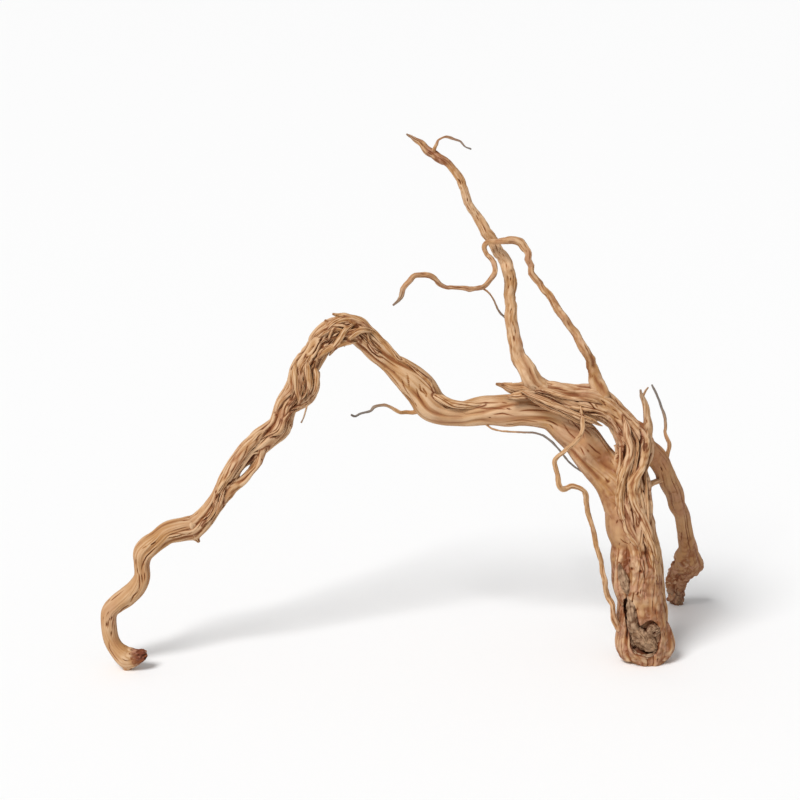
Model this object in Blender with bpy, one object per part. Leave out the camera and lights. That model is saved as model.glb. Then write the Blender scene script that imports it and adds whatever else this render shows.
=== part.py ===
"""Aquarium root: one branching piece of driftwood that stands on three low points.

All lengths are millimetres in the part's own frame: +Z up, +X along the long arm towards
the stump, and the origin on the ground under the middle of the root. A limb is a tube
swept along a route of (x, y, z, radius) points picked by hand. The section of a thick
limb is a ring of strands with narrow valleys between them. The strands twist slowly
along the limb, and their valleys deepen and fade as the grain of such wood does.
"""
import math
from collections import namedtuple

import bpy
import bmesh
from mathutils import Matrix, Vector

MM = 0.001
PART_NAME = "aquarium_root"

THICK_RING_STEP = 9.0       # spacing of rings on the thick limbs
TWIG_RING_STEP = 7.0        # spacing of rings on twigs
STRAND_RING_STEP = 10.0     # spacing of rings on single strands
TWIG_SIDES = 6
STRAND_SIDES = 5
HAIR_SIDES = 4
HAIR_RADIUS = 1.0           # below this a twig counts as a hair

# The section of a thick limb. Shares are of the strand's width or of the route's radius.
CREST_START = 0.30          # where a strand's crest begins and ends across its width
CREST_END = 0.72
CREST_RISE = 0.04           # how far a crest stands above the route's radius
CREST_SWELL = 0.06          # how much a crest rises and sinks along the limb
SWELL_SPAN = 13.0           # length over which it does so, and the lag between strands
SWELL_LAG = 1.7
VALLEY_LEAST = 0.35         # share of its depth that a valley keeps where it fades
FADE_SPAN = 9.0             # length over which valleys fade, and the lag between strands
FADE_LAG = 2.4
START_STRAY = 0.18          # how far a strand's start strays round the limb, in radians
START_LAG = 2.1

# The section of a twig or a single strand.
TWIG_STRAY = 0.07           # how far its corners stand in or out of round
STRAY_SPAN = 5.0            # length over which they do so, and the lag between corners
STRAY_LAG = 2.3

SHARP_ANGLE = math.radians(38)
GROUND_BLOCK = (800.0, 600.0, 30.0)     # size of the block that trims the feet flat
WOOD_COLOUR = (0.50, 0.29, 0.15, 1.0)
WOOD_ROUGHNESS = 0.62
FRONT = Vector((0.0, -1.0, 0.0))

# strands: how many run side by side; depth: how far a valley sinks, as a share of the
# radius; twist: turns of the strands in degrees for each millimetre along the limb.
LimbStyle = namedtuple("LimbStyle", "strands depth twist")
Ring = namedtuple("Ring", "centre front side radius along")

THICK_LIMBS = {
    "arm": (LimbStyle(6, 0.32, -0.55), [
        (-200, -69, 13, 4.5), (-206, -69, 11, 6), (-211, -68, 10, 7), (-217, -67, 10, 7.5),
        (-223, -66, 15, 6.5), (-227.5, -65, 23, 6), (-229, -64, 34, 6), (-228, -63, 44.5, 6.4),
        (-222.5, -61, 50.5, 7), (-215, -59, 56, 7.6), (-208, -57, 62, 7), (-204, -56, 70, 6),
        (-204, -55, 80, 6), (-202.5, -54, 88, 7.8), (-198, -52, 93, 8.3), (-191.5, -50, 98, 8),
        (-184, -48, 103, 8.5), (-173, -46, 105, 8.5), (-164.5, -44, 106, 8.4), (-156.5, -42, 112.5, 7.8),
        (-150, -40, 120, 7), (-145, -38, 128, 6.5), (-141.5, -36, 137, 6.3), (-136.5, -34, 145, 6.6),
        (-129.5, -32, 154, 7.8), (-122, -30, 162, 8.6), (-114, -28, 168, 9.5), (-106, -26, 174, 9),
        (-100, -25, 180, 8.8), (-97, -24, 188, 8), (-93.5, -23, 196, 8.5), (-88, -22, 202, 10.5),
        (-83, -21, 209, 12.5), (-81, -20, 218, 12), (-80, -19, 224.5, 10), (-76, -18, 230, 9.3),
        (-71, -17, 237, 8.7), (-67, -16, 244, 9), (-60, -15, 250.5, 9.2), (-51, -14, 253, 9.5),
        (-41, -13, 252, 9.5), (-34, -12, 243, 8.8), (-26, -11, 234, 8.3), (-17, -11, 226, 8),
        (-8, -11, 219, 10.6), (0, -11, 212, 12.2), (6.5, -11, 203.5, 12.5), (14, -12, 193, 12.3),
        (24.5, -13, 187.5, 10.4), (37, -14, 186.5, 9.5), (48, -15, 188, 10.5), (59, -16, 189, 11.5),
        (72, -18, 190, 12.2), (89, -21, 191, 12), (105, -23, 188, 12), (117, -26, 179, 13.5),
        (126.5, -28, 171.5, 14), (134, -31, 163, 14.3), (142, -33, 152, 14), (151.5, -36, 140, 14),
        (158, -38, 126, 15), (164, -40, 111, 13), (168, -42, 96, 9),
    ]),
    "stump": (LimbStyle(7, 0.26, 0.25), [
        (151, -35, 141, 12), (159, -36, 130, 14.5), (163, -38, 120, 16.5), (163.5, -39, 108, 17.2),
        (168.5, -40, 93, 17.2), (170, -42, 78, 19), (171, -44, 63, 19), (174, -46, 47, 18),
        (176, -48, 32, 18.8), (176, -49, 18, 20), (178.5, -49.5, 9, 18.5), (180, -50, 3, 15),
        (179.5, -50, -4, 11),
    ]),
    "shoulder": (LimbStyle(6, 0.33, 0.5), [
        (63, -33, 215, 0.8), (68, -33, 214, 2), (74, -33, 212, 4), (82, -32, 211, 5.5),
        (93, -32, 211, 6.5), (102, -32, 209, 8), (111, -33, 206, 9.5), (122, -34, 203, 11),
        (134, -35, 201, 12.3), (145, -36, 197, 11), (153.5, -37, 189.5, 9.8), (160, -38, 181.5, 11.4),
        (166, -39, 173, 14), (166, -41, 162, 13), (164, -43, 150, 12), (166, -45, 137, 12.5),
        (169, -47, 124, 11.5), (170, -48, 110, 10), (172, -48, 96, 8),
    ]),
    "back_leg": (LimbStyle(5, 0.26, 0.6), [
        (175, -37, 167, 8), (183, -33, 158, 8), (190, -27, 147, 7), (195, -19, 135, 7),
        (201, -11, 123, 7), (205, -2, 110, 6.5), (211, 9, 96, 6), (215, 21, 80, 6),
        (218.5, 32, 65, 6.6), (220.5, 41, 54, 8.4), (222, 49, 42, 11), (218, 57, 31.5, 8.7),
        (216, 63, 20, 7.5), (217, 67, 10, 6), (217, 70, 3, 5.5), (217, 71, -4, 4.5),
    ]),
    "tall_branch": (LimbStyle(4, 0.2, 0.8), [
        (102, -31, 202, 6), (97, -31, 209, 6.5), (92, -31, 216, 7), (87, -30, 223, 7),
        (83, -28, 231, 6.5), (79, -26, 239, 5.5), (76, -23, 248, 5), (74, -20, 259, 4.5),
        (73, -17, 269, 4.2), (73, -11, 287, 4.5), (72, -9, 296, 4.5), (69, -7, 304, 4.4),
        (63.5, -6, 311.5, 4.3), (59, -4, 320, 4.1), (53, -3, 329, 4), (46.5, -2, 337.5, 3.4),
        (41.5, -1, 346.5, 3.2), (38.5, 0, 355.5, 3), (34.5, 1, 364.5, 2.9), (30, 2, 371.5, 2.8),
        (25, 3, 377, 3.2), (18, 4, 380, 3.2), (12, 5, 384, 3.2), (7, 6, 390, 2.5),
        (1, 7, 393, 1.5), (-4, 8, 396, 0.7),
    ]),
}

TWIGS = {
    "hook_branch": [
        (141, -35, 200, 5.5), (140, -35, 207, 6), (139, -36, 214, 5.5), (137, -37, 220, 5),
        (134, -38, 227.5, 3.7), (130, -39, 235.5, 3.2), (127, -39, 243, 3.4), (122, -38, 249, 3.2),
        (118, -37, 255, 3.1), (113, -36, 263, 3), (109, -34, 269, 2.8), (105, -32, 276, 2.6),
        (101, -30, 283, 2.5), (96, -28, 288, 2.3), (92, -26, 294, 2.3), (89, -24, 300, 2.4),
        (87, -23, 307, 2.6), (86, -22, 312, 2.7), (82, -21, 315.5, 3), (78, -20, 319, 3),
        (73, -19, 321, 2.6), (67, -18, 320.5, 2.2), (61, -17, 319.5, 2), (57, -16, 319, 1.9),
        (54.5, -16, 316, 1.9), (55.5, -17, 312, 1.9), (58.5, -18, 307.5, 2), (60.5, -20, 303, 2),
        (61, -22, 298, 1.9), (58.5, -24, 293.5, 1.8), (55, -27, 290, 1.7), (50.5, -29, 288, 1.6),
        (46, -31, 288, 1.7), (42, -33, 288.5, 1.9), (37, -35, 289, 1.7), (31, -37, 289, 1.6),
        (25.5, -39, 290, 1.7), (20.5, -41, 294, 1.7), (16.5, -43, 298, 1.8), (12, -45, 301.3, 2),
        (6.5, -47, 302.7, 1.9), (1, -49, 302.5, 1.9), (-3, -51, 298.5, 1.9), (-6, -53, 293, 1.9),
        (-8, -54, 288, 1.8), (-10.5, -55, 284, 1.2), (-14, -56, 281, 0.7),
    ],
    "crown_twig": [
        (15.5, 4, 382, 1.4), (16.5, 3, 386, 1.3), (18, 2, 389, 1.3), (19, 1, 392, 1),
        (21.5, 0, 394, 0.8), (25.5, -2, 395.5, 0.8), (31.5, -5, 394, 0.7), (35.5, -7, 393, 0.7),
        (39, -9, 389.5, 0.7), (43, -11, 388, 0.7),
    ],
    "link_hair": [
        (50, -28, 288, 0.9), (56, -27, 284, 0.8), (60, -24, 278, 0.7), (63, -21, 271.5, 0.7),
        (66, -19, 266.5, 0.7), (72, -18, 260, 0.8),
    ],
    "arm_twig": [
        (9, -12, 190, 1.6), (4.5, -13, 188.5, 1.5), (0, -15, 188, 1.4), (-5, -17, 188.5, 1.4),
        (-10, -19, 190, 1.3), (-15.5, -21, 193, 1.3), (-20, -23, 195, 1.2), (-24.5, -25, 195.5, 1.1),
        (-28.5, -27, 195, 1.1), (-31, -28, 192.5, 1), (-35, -29, 191.5, 0.9), (-39, -30, 190.5, 0.8),
        (-42.5, -31, 189, 0.8), (-45.5, -32, 190.5, 0.7),
    ],
    "arch_hair": [
        (54.5, -21, 181.5, 0.9), (60, -22, 177.5, 0.8), (66.5, -23, 175.5, 0.7), (74, -24, 175, 0.7),
        (81.5, -25, 175, 0.7), (91.5, -26, 174.5, 0.7), (99.5, -27, 173, 0.8), (104, -29, 170, 0.8),
        (108.5, -31, 165.5, 0.8), (113.5, -33, 160.5, 0.8), (118, -34, 155.5, 0.8),
        (123.5, -35, 150.5, 0.7), (129, -35, 147, 0.7), (137, -34, 142, 0.9),
    ],
    "knot_hair": [
        (-78, -26, 206, 1), (-78.5, -29, 199, 0.8), (-79.5, -31, 194.5, 0.7), (-81, -33, 189.5, 0.6),
        (-83, -35, 185.5, 0.6),
    ],
    "loop_twig": [
        (125, -35, 204, 1.6), (125.5, -44, 199.5, 1.4), (126, -50, 195, 1.4), (126, -54, 190.5, 1.5),
        (125.5, -57, 186, 1.5), (122.5, -60, 181, 1.5), (118.5, -62, 176, 1.5), (113.5, -64, 173, 1.5),
        (109, -66, 169.5, 1.6), (106, -67, 165.5, 1.8), (106, -68, 160.5, 1.8), (107, -69, 154.5, 1.7),
        (107.5, -69, 148.5, 1.8), (110.5, -68, 144.5, 1.9), (114.5, -67, 144.5, 1.8),
        (118, -66, 146, 1.7), (123, -65, 145, 1.7), (127.5, -64, 142.5, 1.8), (130, -63, 137.5, 1.9),
        (130.5, -62, 130.5, 1.8), (131.5, -61, 122.5, 1.8), (134, -60, 115, 1.8),
        (136.5, -59, 106.5, 1.8), (139, -58, 96.5, 1.8), (141, -57, 86, 1.8), (144, -56, 73.5, 1.9),
        (147, -55, 61, 1.9), (150.5, -54, 49.5, 2), (153.5, -53, 38.5, 2.2), (158, -51, 26.5, 2.8),
    ],
    "spike": [
        (175, -38, 172, 4), (174.5, -39, 179, 3.7), (175, -40, 185.5, 3.4), (174.5, -41, 193.5, 2.8),
        (173, -42, 201.5, 2.2), (171, -43, 208, 1.5), (169.5, -44, 213.5, 0.7),
    ],
    "spike_hair": [(171, -42.5, 206, 1), (173, -44, 212, 0.7), (175, -45, 215.5, 0.6)],
    "back_twig": [
        (192, -26, 142, 1.7), (192.5, -25, 146, 1.5), (193.5, -22, 151.5, 1.4), (195, -18, 158, 1.4),
        (195, -15, 162.5, 1.4), (193.5, -11, 169.5, 1.2), (194, -8, 174, 1.1), (193, -5, 181, 1.1),
        (190.5, -2, 187.5, 1), (188, 0, 193.5, 1), (186, 2, 199, 0.9), (183.5, 4, 204, 0.6),
    ],
    "strut": [
        (169, -51, 131, 1.8), (173, -50, 135, 1.7), (177, -46, 137.5, 1.7), (182.5, -37, 138.5, 2),
        (188.5, -26, 139, 2.3), (192.5, -19, 139.5, 2.5),
    ],
}

# Single strands that lie on the limbs or lift away from them, and broken splinters.
STRANDS = {
    "side_strand": [
        (-107, -30, 172, 3), (-112.5, -34, 164, 3.6), (-116.5, -36, 156.5, 3.8),
        (-121.5, -37, 149.5, 3.6), (-128, -38, 142.5, 3.6), (-136, -39, 136, 3.7),
        (-141.5, -40, 127, 3.8), (-148, -39, 119, 2.8),
    ],
    "arm_wrap": [
        (-108, -30, 179.5, 2.3), (-115.5, -35, 174.5, 3.2), (-123.5, -38, 167.5, 3.6),
        (-130.5, -40, 158.5, 3.6), (-136.5, -41, 148.5, 3.3), (-143, -42, 138, 2.9),
        (-149, -41, 127, 2.2),
    ],
    "arm_ridge": [
        (12, -19, 204, 2), (20.5, -22, 200.5, 2.7), (30, -23, 196.5, 2.9), (42.5, -23, 196, 2.6),
        (54.5, -23, 196.5, 2),
    ],
    "knot_fold_left": [
        (-86.5, -26, 231, 1.8), (-87.5, -31, 222.5, 2.4), (-86, -32, 212.5, 2.5),
        (-84, -31, 203, 2.2), (-86.5, -27, 193, 1.6),
    ],
    "knot_fold_middle": [
        (-79, -26, 233, 1.8), (-77.5, -31, 224, 2.4), (-77, -32, 214, 2.4), (-78.5, -29, 202.5, 1.8),
    ],
    "knot_fold_right": [
        (-74, -24, 229, 1.6), (-71.5, -29, 220.5, 2.2), (-72.5, -30, 210.5, 2.2),
        (-76.5, -27, 200, 1.6),
    ],
    "apex_top": [
        (-68.5, -21, 249, 1.9), (-59, -22, 258, 2.6), (-47.5, -20, 262, 2.9), (-37.5, -18, 259.5, 2.6),
        (-28.5, -16, 249.5, 2.4), (-20, -15, 240.5, 2.3), (-11.5, -15, 231.5, 2.1), (-3.5, -14, 223.5, 1.7),
    ],
    "apex_cross_low": [
        (-62, -22, 234, 1.8), (-56, -25, 244.5, 2.2), (-50.5, -25, 253, 2.2), (-43, -21, 259, 1.8),
    ],
    "apex_cross_high": [
        (-51, -20, 240.5, 1.8), (-45, -23, 249, 2.2), (-37.5, -23, 254, 2.2), (-28, -19, 252, 1.8),
    ],
    "apex_under": [
        (-76, -22, 226, 1.6), (-69, -25, 235, 2.2), (-60, -25, 241, 2.5), (-49.5, -23, 244.5, 2.3),
        (-39, -20, 245, 1.8),
    ],
    "apex_splinter_long": [
        (-40, -17, 258, 3.4), (-45, -19, 260, 3.4), (-50.5, -20, 263.5, 2.5), (-55, -21, 264.5, 1.6),
        (-59, -22, 266, 0.7),
    ],
    "apex_splinter_short": [(-54, -17, 249, 4.2), (-58, -19, 253.5, 3.6), (-61.5, -20, 257.5, 2.2),
                            (-65, -21, 261, 0.7)],
    "arm_spur": [(-167, -45, 108, 6.5), (-164, -46, 100, 3.5), (-161, -47, 95, 0.8)],
    "crevice_upper": [
        (80, -40, 212, 1.6), (91, -44, 208, 1.8), (103.5, -47, 203.5, 2), (117, -49, 198, 2),
        (130.5, -50, 192, 1.9), (142, -46, 186, 1.6),
    ],
    "crevice_lower": [
        (84, -38, 208, 1.5), (98.5, -43, 200.5, 1.7), (111.5, -45, 195.5, 1.8),
        (123, -46, 190, 1.7), (136, -43, 184, 1.5),
    ],
    "shoulder_splinter": [(90, -35, 208, 3.6), (83.5, -37, 208, 3.2), (77, -37, 207, 2.2),
                          (71.5, -37, 206, 0.8)],
    "front_strand": [
        (157.5, -47, 194, 2.2), (160, -52, 183, 2.8), (162, -54, 169.5, 3.3), (159, -56, 157, 3.4),
        (155.5, -55, 143.5, 3.4), (155.5, -54, 131, 3.1), (158, -54, 118, 2.6), (162.5, -53, 106, 2),
    ],
    "wavy_strand": [
        (175, -46, 182.5, 2.5), (174, -51, 170, 3.1), (170.5, -54, 157, 3.4), (165.5, -57, 145, 3.6),
        (165.5, -57, 132, 3.4), (171, -57, 120, 3.3), (176, -57, 108, 3.1), (181, -56, 94.5, 2.9),
        (186, -52, 80, 2.4),
    ],
    "edge_strand": [
        (174.5, -41, 156, 2.2), (175.5, -43, 142.5, 2.8), (177, -45, 128.5, 3.1), (178.5, -47, 115, 3.2),
        (182, -47, 99, 3.2), (185.5, -46.5, 83, 3), (188, -47, 65, 2.5), (189, -49, 50, 1.6),
    ],
    "heel": [(-218, -67, 13, 5.5), (-216.5, -67, 5, 4.2), (-215.5, -67, -3, 2.6)],
    "knee": [(218, 42, 51, 7.5), (226, 47, 43, 5.5), (233, 49, 40, 2)],
    "toe_spur": [(217, 64, 16, 5), (212, 67, 6, 3.2), (209, 67, 4.5, 1.2)],
    "side_toe": [(217, 58, 28, 6), (212, 58.5, 25, 4), (207, 58, 22, 1.6)],
    "base_lip": [(180, -50, 34, 9), (185, -51, 26, 9), (190, -51, 17, 8.5), (190, -51, 9, 7.5),
                 (187, -51, 2, 5)],
}

# The hollow in the front of the stump, and the weathered lumps that fill part of it.
HOLLOW = [(165, -65, 58, 5), (166.5, -67, 42, 10), (169, -68, 28, 11.5), (172, -67, 16, 7)]
HOLLOW_SIDES = 10
BURR_LUMPS = [
    (165, -58.5, 49, 4.5), (167, -59, 37, 6), (170, -59, 25, 8), (179, -60, 20, 7), (180, -60, 30, 5.5),
]
BURR_FLATNESS = 0.72        # depth of a lump, front to back, as a share of its radius
KNOB_HEIGHT = 0.36          # how far the small knobs stand on a lump
KNOB_WAVES = (4.1, 3.9, 4.7)    # waves of the knobs over a lump in x, y and z


def smooth_route(route, step):
    """Return (x, y, z, radius) samples on a Catmull-Rom curve through the route."""
    points = [Vector(point) for point in route]
    padded = [2 * points[0] - points[1]] + points + [2 * points[-1] - points[-2]]
    samples = []
    for before, start, end, after in zip(padded, padded[1:], padded[2:], padded[3:]):
        count = max(1, round((end.xyz - start.xyz).length / step))
        for index in range(count):
            t = index / count
            bend = 2 * before - 5 * start + 4 * end - after
            swing = 3 * start - before - 3 * end + after
            samples.append(0.5 * (2 * start + (end - before) * t + bend * t ** 2 + swing * t ** 3))
    samples.append(points[-1])
    return samples


def rings_along(route, step):
    """Return one Ring per sample: its centre, two directions across it, radius and length."""
    samples = smooth_route(route, step)
    rings = []
    along = 0.0
    for index, sample in enumerate(samples):
        before = samples[max(index - 1, 0)].xyz
        after = samples[min(index + 1, len(samples) - 1)].xyz
        tangent = (after - before).normalized()
        front = (FRONT - FRONT.dot(tangent) * tangent).normalized()
        if index:
            along += (sample.xyz - samples[index - 1].xyz).length
        rings.append(Ring(sample.xyz, front, tangent.cross(front), sample.w, along))
    return rings


def point_on(ring, angle, factor):
    """Return the point at this angle from the front, at factor times the ring's radius."""
    direction = math.cos(angle) * ring.front + math.sin(angle) * ring.side
    return ring.centre + direction * ring.radius * factor


def strand_outline(ring, style, seed):
    """Return a ring's points: for each strand a valley and the two edges of its crest."""
    pitch = math.tau / style.strands
    points = []
    for strand in range(style.strands):
        fade = 0.5 + 0.5 * math.sin(ring.along / FADE_SPAN + FADE_LAG * strand + seed)
        swell = math.sin(ring.along / SWELL_SPAN + SWELL_LAG * strand + 2.0 * seed)
        start = strand * pitch + math.radians(style.twist) * ring.along
        start += START_STRAY * math.sin(START_LAG * strand + seed)
        crest = 1.0 + CREST_RISE + CREST_SWELL * swell
        valley = 1.0 - style.depth * (VALLEY_LEAST + (1.0 - VALLEY_LEAST) * fade)
        points.append(point_on(ring, start, valley))
        points.append(point_on(ring, start + CREST_START * pitch, crest))
        points.append(point_on(ring, start + CREST_END * pitch, crest))
    return points


def round_outline(ring, sides):
    """Return a ring's points on a slightly uneven polygon, for twigs and single strands."""
    points = []
    for side in range(sides):
        uneven = 1.0 + TWIG_STRAY * math.sin(ring.along / STRAY_SPAN + STRAY_LAG * side)
        points.append(point_on(ring, math.tau * side / sides, uneven))
    return points


def skin(outlines):
    """Return a closed mesh that joins the outlines in order, with a cap at each end."""
    shape = bmesh.new()
    loops = [[shape.verts.new(point * MM) for point in outline] for outline in outlines]
    for lower, upper in zip(loops, loops[1:]):
        for index in range(len(lower)):
            following = (index + 1) % len(lower)
            shape.faces.new((lower[index], lower[following], upper[following], upper[index]))
    shape.faces.new(loops[0])
    shape.faces.new(loops[-1])
    return finish_mesh(shape)


def finish_mesh(shape):
    """Point the faces outwards, split them into triangles and return the shape as a mesh."""
    bmesh.ops.recalc_face_normals(shape, faces=shape.faces)
    bmesh.ops.triangulate(shape, faces=shape.faces)
    mesh = bpy.data.meshes.new("wood_piece")
    shape.to_mesh(mesh)
    shape.free()
    return mesh


def thick_limb(style, route, seed):
    """Return a limb made of strands and valleys, swept along its route."""
    rings = rings_along(route, THICK_RING_STEP)
    return skin([strand_outline(ring, style, seed) for ring in rings])


def thin_limb(route, sides, step):
    """Return a twig or a single strand, with four sides where it is as thin as a hair."""
    if min(point[3] for point in route[:-1]) < HAIR_RADIUS:
        sides = HAIR_SIDES
    return skin([round_outline(ring, sides) for ring in rings_along(route, step)])


def burr_lump(x, y, z, radius):
    """Return a flattened ball with small knobs, as weathered burr wood has."""
    shape = bmesh.new()
    bmesh.ops.create_icosphere(shape, subdivisions=2, radius=1.0)
    for vertex in shape.verts:
        spot = vertex.co
        knob = math.sin(KNOB_WAVES[0] * spot.x + x)
        knob *= math.sin(KNOB_WAVES[1] * spot.y + radius)
        knob *= math.sin(KNOB_WAVES[2] * spot.z + z)
        vertex.co = spot * (1.0 + KNOB_HEIGHT * knob) * radius
        vertex.co.y *= BURR_FLATNESS
    bmesh.ops.translate(shape, verts=shape.verts, vec=(x, y, z))
    bmesh.ops.scale(shape, verts=shape.verts, vec=(MM, MM, MM))
    return finish_mesh(shape)


def ground_block():
    """Return the block under the ground plane that trims the three feet flat."""
    shape = bmesh.new()
    bmesh.ops.create_cube(shape, size=1.0)
    size = Matrix.Diagonal((*(Vector(GROUND_BLOCK) * MM), 1.0))
    place = Matrix.Translation((0.0, 0.0, -0.5 * GROUND_BLOCK[2] * MM))
    bmesh.ops.transform(shape, matrix=place @ size, verts=shape.verts)
    return finish_mesh(shape)


def add_object(name, mesh, collection):
    """Add an object with this mesh to a collection and return it."""
    piece = bpy.data.objects.new(name, mesh)
    collection.objects.link(piece)
    return piece


def boolean_with(wood, operation, meshes):
    """Join the meshes to the wood, or cut them from it, and apply the result."""
    tools = bpy.data.collections.new("tools")
    bpy.context.scene.collection.children.link(tools)
    for index, mesh in enumerate(meshes):
        add_object(f"tool_{index}", mesh, tools)
    step = wood.modifiers.new(operation.lower(), "BOOLEAN")
    step.operation = operation
    step.operand_type = "COLLECTION"
    step.collection = tools
    step.solver = "EXACT"
    evaluated = wood.evaluated_get(bpy.context.evaluated_depsgraph_get())
    result = bpy.data.meshes.new_from_object(evaluated)
    wood.modifiers.clear()
    wood.data = result
    for piece in list(tools.objects):
        bpy.data.objects.remove(piece)
    bpy.data.collections.remove(tools)


def keep_largest_body(mesh):
    """Drop any scrap or sealed pocket that the joining leaves beside the main body."""
    shape = bmesh.new()
    shape.from_mesh(mesh)
    waiting = set(shape.verts)
    bodies = []
    while waiting:
        reached = [waiting.pop()]
        for vertex in reached:
            for edge in vertex.link_edges:
                other = edge.other_vert(vertex)
                if other in waiting:
                    waiting.remove(other)
                    reached.append(other)
        bodies.append(reached)
    bodies.sort(key=len)
    scraps = [vertex for body in bodies[:-1] for vertex in body]
    bmesh.ops.delete(shape, geom=scraps, context="VERTS")
    bmesh.ops.triangulate(shape, faces=shape.faces)
    shape.to_mesh(mesh)
    shape.free()


def wood_material():
    """Return the plain finish of bare dry wood."""
    material = bpy.data.materials.new("driftwood")
    material.use_nodes = True
    shader = material.node_tree.nodes["Principled BSDF"]
    shader.inputs["Base Color"].default_value = WOOD_COLOUR
    shader.inputs["Roughness"].default_value = WOOD_ROUGHNESS
    shader.inputs["Metallic"].default_value = 0.0
    return material


def build_root():
    """Join the limbs, twigs and strands, shape the stump, and trim the feet flat."""
    limbs = [thick_limb(style, route, float(seed))
             for seed, (style, route) in enumerate(THICK_LIMBS.values())]
    thin = [thin_limb(route, TWIG_SIDES, TWIG_RING_STEP) for route in TWIGS.values()]
    thin += [thin_limb(route, STRAND_SIDES, STRAND_RING_STEP) for route in STRANDS.values()]
    wood = add_object(PART_NAME, limbs[0], bpy.context.scene.collection)
    boolean_with(wood, "UNION", limbs[1:] + thin)
    boolean_with(wood, "DIFFERENCE", [thin_limb(HOLLOW, HOLLOW_SIDES, STRAND_RING_STEP)])
    boolean_with(wood, "UNION", [burr_lump(*lump) for lump in BURR_LUMPS])
    boolean_with(wood, "DIFFERENCE", [ground_block()])
    keep_largest_body(wood.data)
    wood.data.materials.clear()
    wood.data.materials.append(wood_material())
    wood.data.shade_smooth()
    wood.data.set_sharp_from_angle(angle=SHARP_ANGLE)
    return wood


for old in list(bpy.data.objects):
    bpy.data.objects.remove(old)
build_root()
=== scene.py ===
import math

import bpy
import numpy as np
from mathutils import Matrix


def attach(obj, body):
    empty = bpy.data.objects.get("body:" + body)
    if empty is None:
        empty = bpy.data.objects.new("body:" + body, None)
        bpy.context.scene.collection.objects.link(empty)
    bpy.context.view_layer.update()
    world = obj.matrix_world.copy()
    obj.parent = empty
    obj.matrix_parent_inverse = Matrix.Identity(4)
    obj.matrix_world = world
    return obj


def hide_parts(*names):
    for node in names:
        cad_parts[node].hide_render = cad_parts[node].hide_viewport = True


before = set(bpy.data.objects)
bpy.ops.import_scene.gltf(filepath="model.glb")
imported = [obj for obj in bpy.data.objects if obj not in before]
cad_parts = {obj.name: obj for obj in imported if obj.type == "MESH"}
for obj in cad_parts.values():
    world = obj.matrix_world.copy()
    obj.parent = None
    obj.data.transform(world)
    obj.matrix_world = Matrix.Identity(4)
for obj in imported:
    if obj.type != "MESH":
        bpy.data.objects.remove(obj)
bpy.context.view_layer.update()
print("frame loaded")

fullTurn = 2.0 * math.pi
millimetre = 0.001
never = 1e4                   # farther along than any limb reaches
nowhere = [(0, 0), (1, 0)]    # stain and paleness of a limb that has none


def curveThrough(route, step):
    # Catmull-Rom curve: between b and c, with a before and d after, the point is
    # 0.5 (2b + (c - a)t + (2a - 5b + 4c - d)t^2 + (3b - a - 3c + d)t^3). Even steps along it.
    points = np.array(route, float)
    padded = np.vstack([2 * points[0] - points[1], points, 2 * points[-1] - points[-2]])
    spans = []
    for a, b, c, d in zip(padded, padded[1:], padded[2:], padded[3:]):
        count = max(2, round(np.linalg.norm((c - b)[:3]) / 0.4))
        t = np.arange(count)[:, None] / count
        bend = 2 * a - 5 * b + 4 * c - d
        swing = 3 * b - a - 3 * c + d
        spans.append(0.5 * (2 * b + (c - a) * t + bend * t ** 2 + swing * t ** 3))
    fine = np.vstack(spans + [points[-1:]])
    length = np.concatenate([[0.0], np.cumsum(np.linalg.norm(np.diff(fine[:, :3], axis=0), axis=1))])
    along = np.linspace(0.0, length[-1], max(5, round(length[-1] / step) + 1))
    even = np.column_stack([np.interp(along, length, fine[:, k]) for k in range(4)])
    return even[:, :3], np.maximum(even[:, 3], 0.25), along


def framesAlong(centre, carried):
    # Two directions across the curve at each ring. The first is the front, -y, made square to
    # the curve, or on a twig that turns much the last ring's direction, made square again.
    tangent = np.gradient(centre, axis=0)
    tangent /= np.linalg.norm(tangent, axis=1, keepdims=True)
    first = np.tile([0.0, -1.0, 0.0], (len(centre), 1))
    first -= np.sum(first * tangent, axis=1, keepdims=True) * tangent
    if carried:
        for ring in range(1, len(first)):
            first[ring] = first[ring - 1] - first[ring - 1] @ tangent[ring] * tangent[ring]
            first[ring] /= np.linalg.norm(first[ring])
    first /= np.linalg.norm(first, axis=1, keepdims=True)
    return tangent, first, np.cross(tangent, first)


def waves(around, along, rng, terms, counts, length):
    # Sum of sines. Each has a whole number of waves round the limb, so the seam closes, and a
    # random wavelength along it of at least the given length.
    total = 0.0
    for _ in range(terms):
        turns = rng.integers(counts[0], counts[1] + 1)
        rate = fullTurn / length * rng.uniform(-1.0, 1.0)
        total = total + np.sin(turns * around + rate * along + rng.uniform(0.0, fullTurn))
    return total / math.sqrt(0.5 * terms)


def strandProfile(around, along, limb):
    # The CAD's strands and valleys, made smooth: across a strand p goes from 0 to 1, and the
    # radius factor is valley + (crest - valley)(1 - |cos(pi p)|^5), with the CAD's own sines.
    count, seed = limb["strands"], limb["seed"]
    edges = np.arange(count) * fullTurn / count + 0.18 * np.sin(2.1 * np.arange(count) + seed)
    turned = np.mod(around - edges[0], fullTurn) + edges[0]
    strand = np.searchsorted(edges, turned, side="right") - 1
    ends = np.append(edges, edges[0] + fullTurn)
    p = (turned - ends[strand]) / (ends[strand + 1] - ends[strand])
    edge = np.where(p < 0.5, strand, (strand + 1) % count)
    fade = 0.5 + 0.5 * np.sin(along / 9.0 + 2.4 * edge + seed)
    valley = 1.0 - limb["depth"] * (0.35 + 0.65 * fade)
    crest = 1.04 + 0.06 * np.sin(along / 13.0 + 1.7 * strand + 2.0 * seed)
    rise = 1.0 - np.abs(np.cos(math.pi * p)) ** 5
    # The second value is largest deep in the valleys between strands; painted shade goes there.
    return valley + (crest - valley) * rise, (1.0 - rise) * fade


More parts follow.
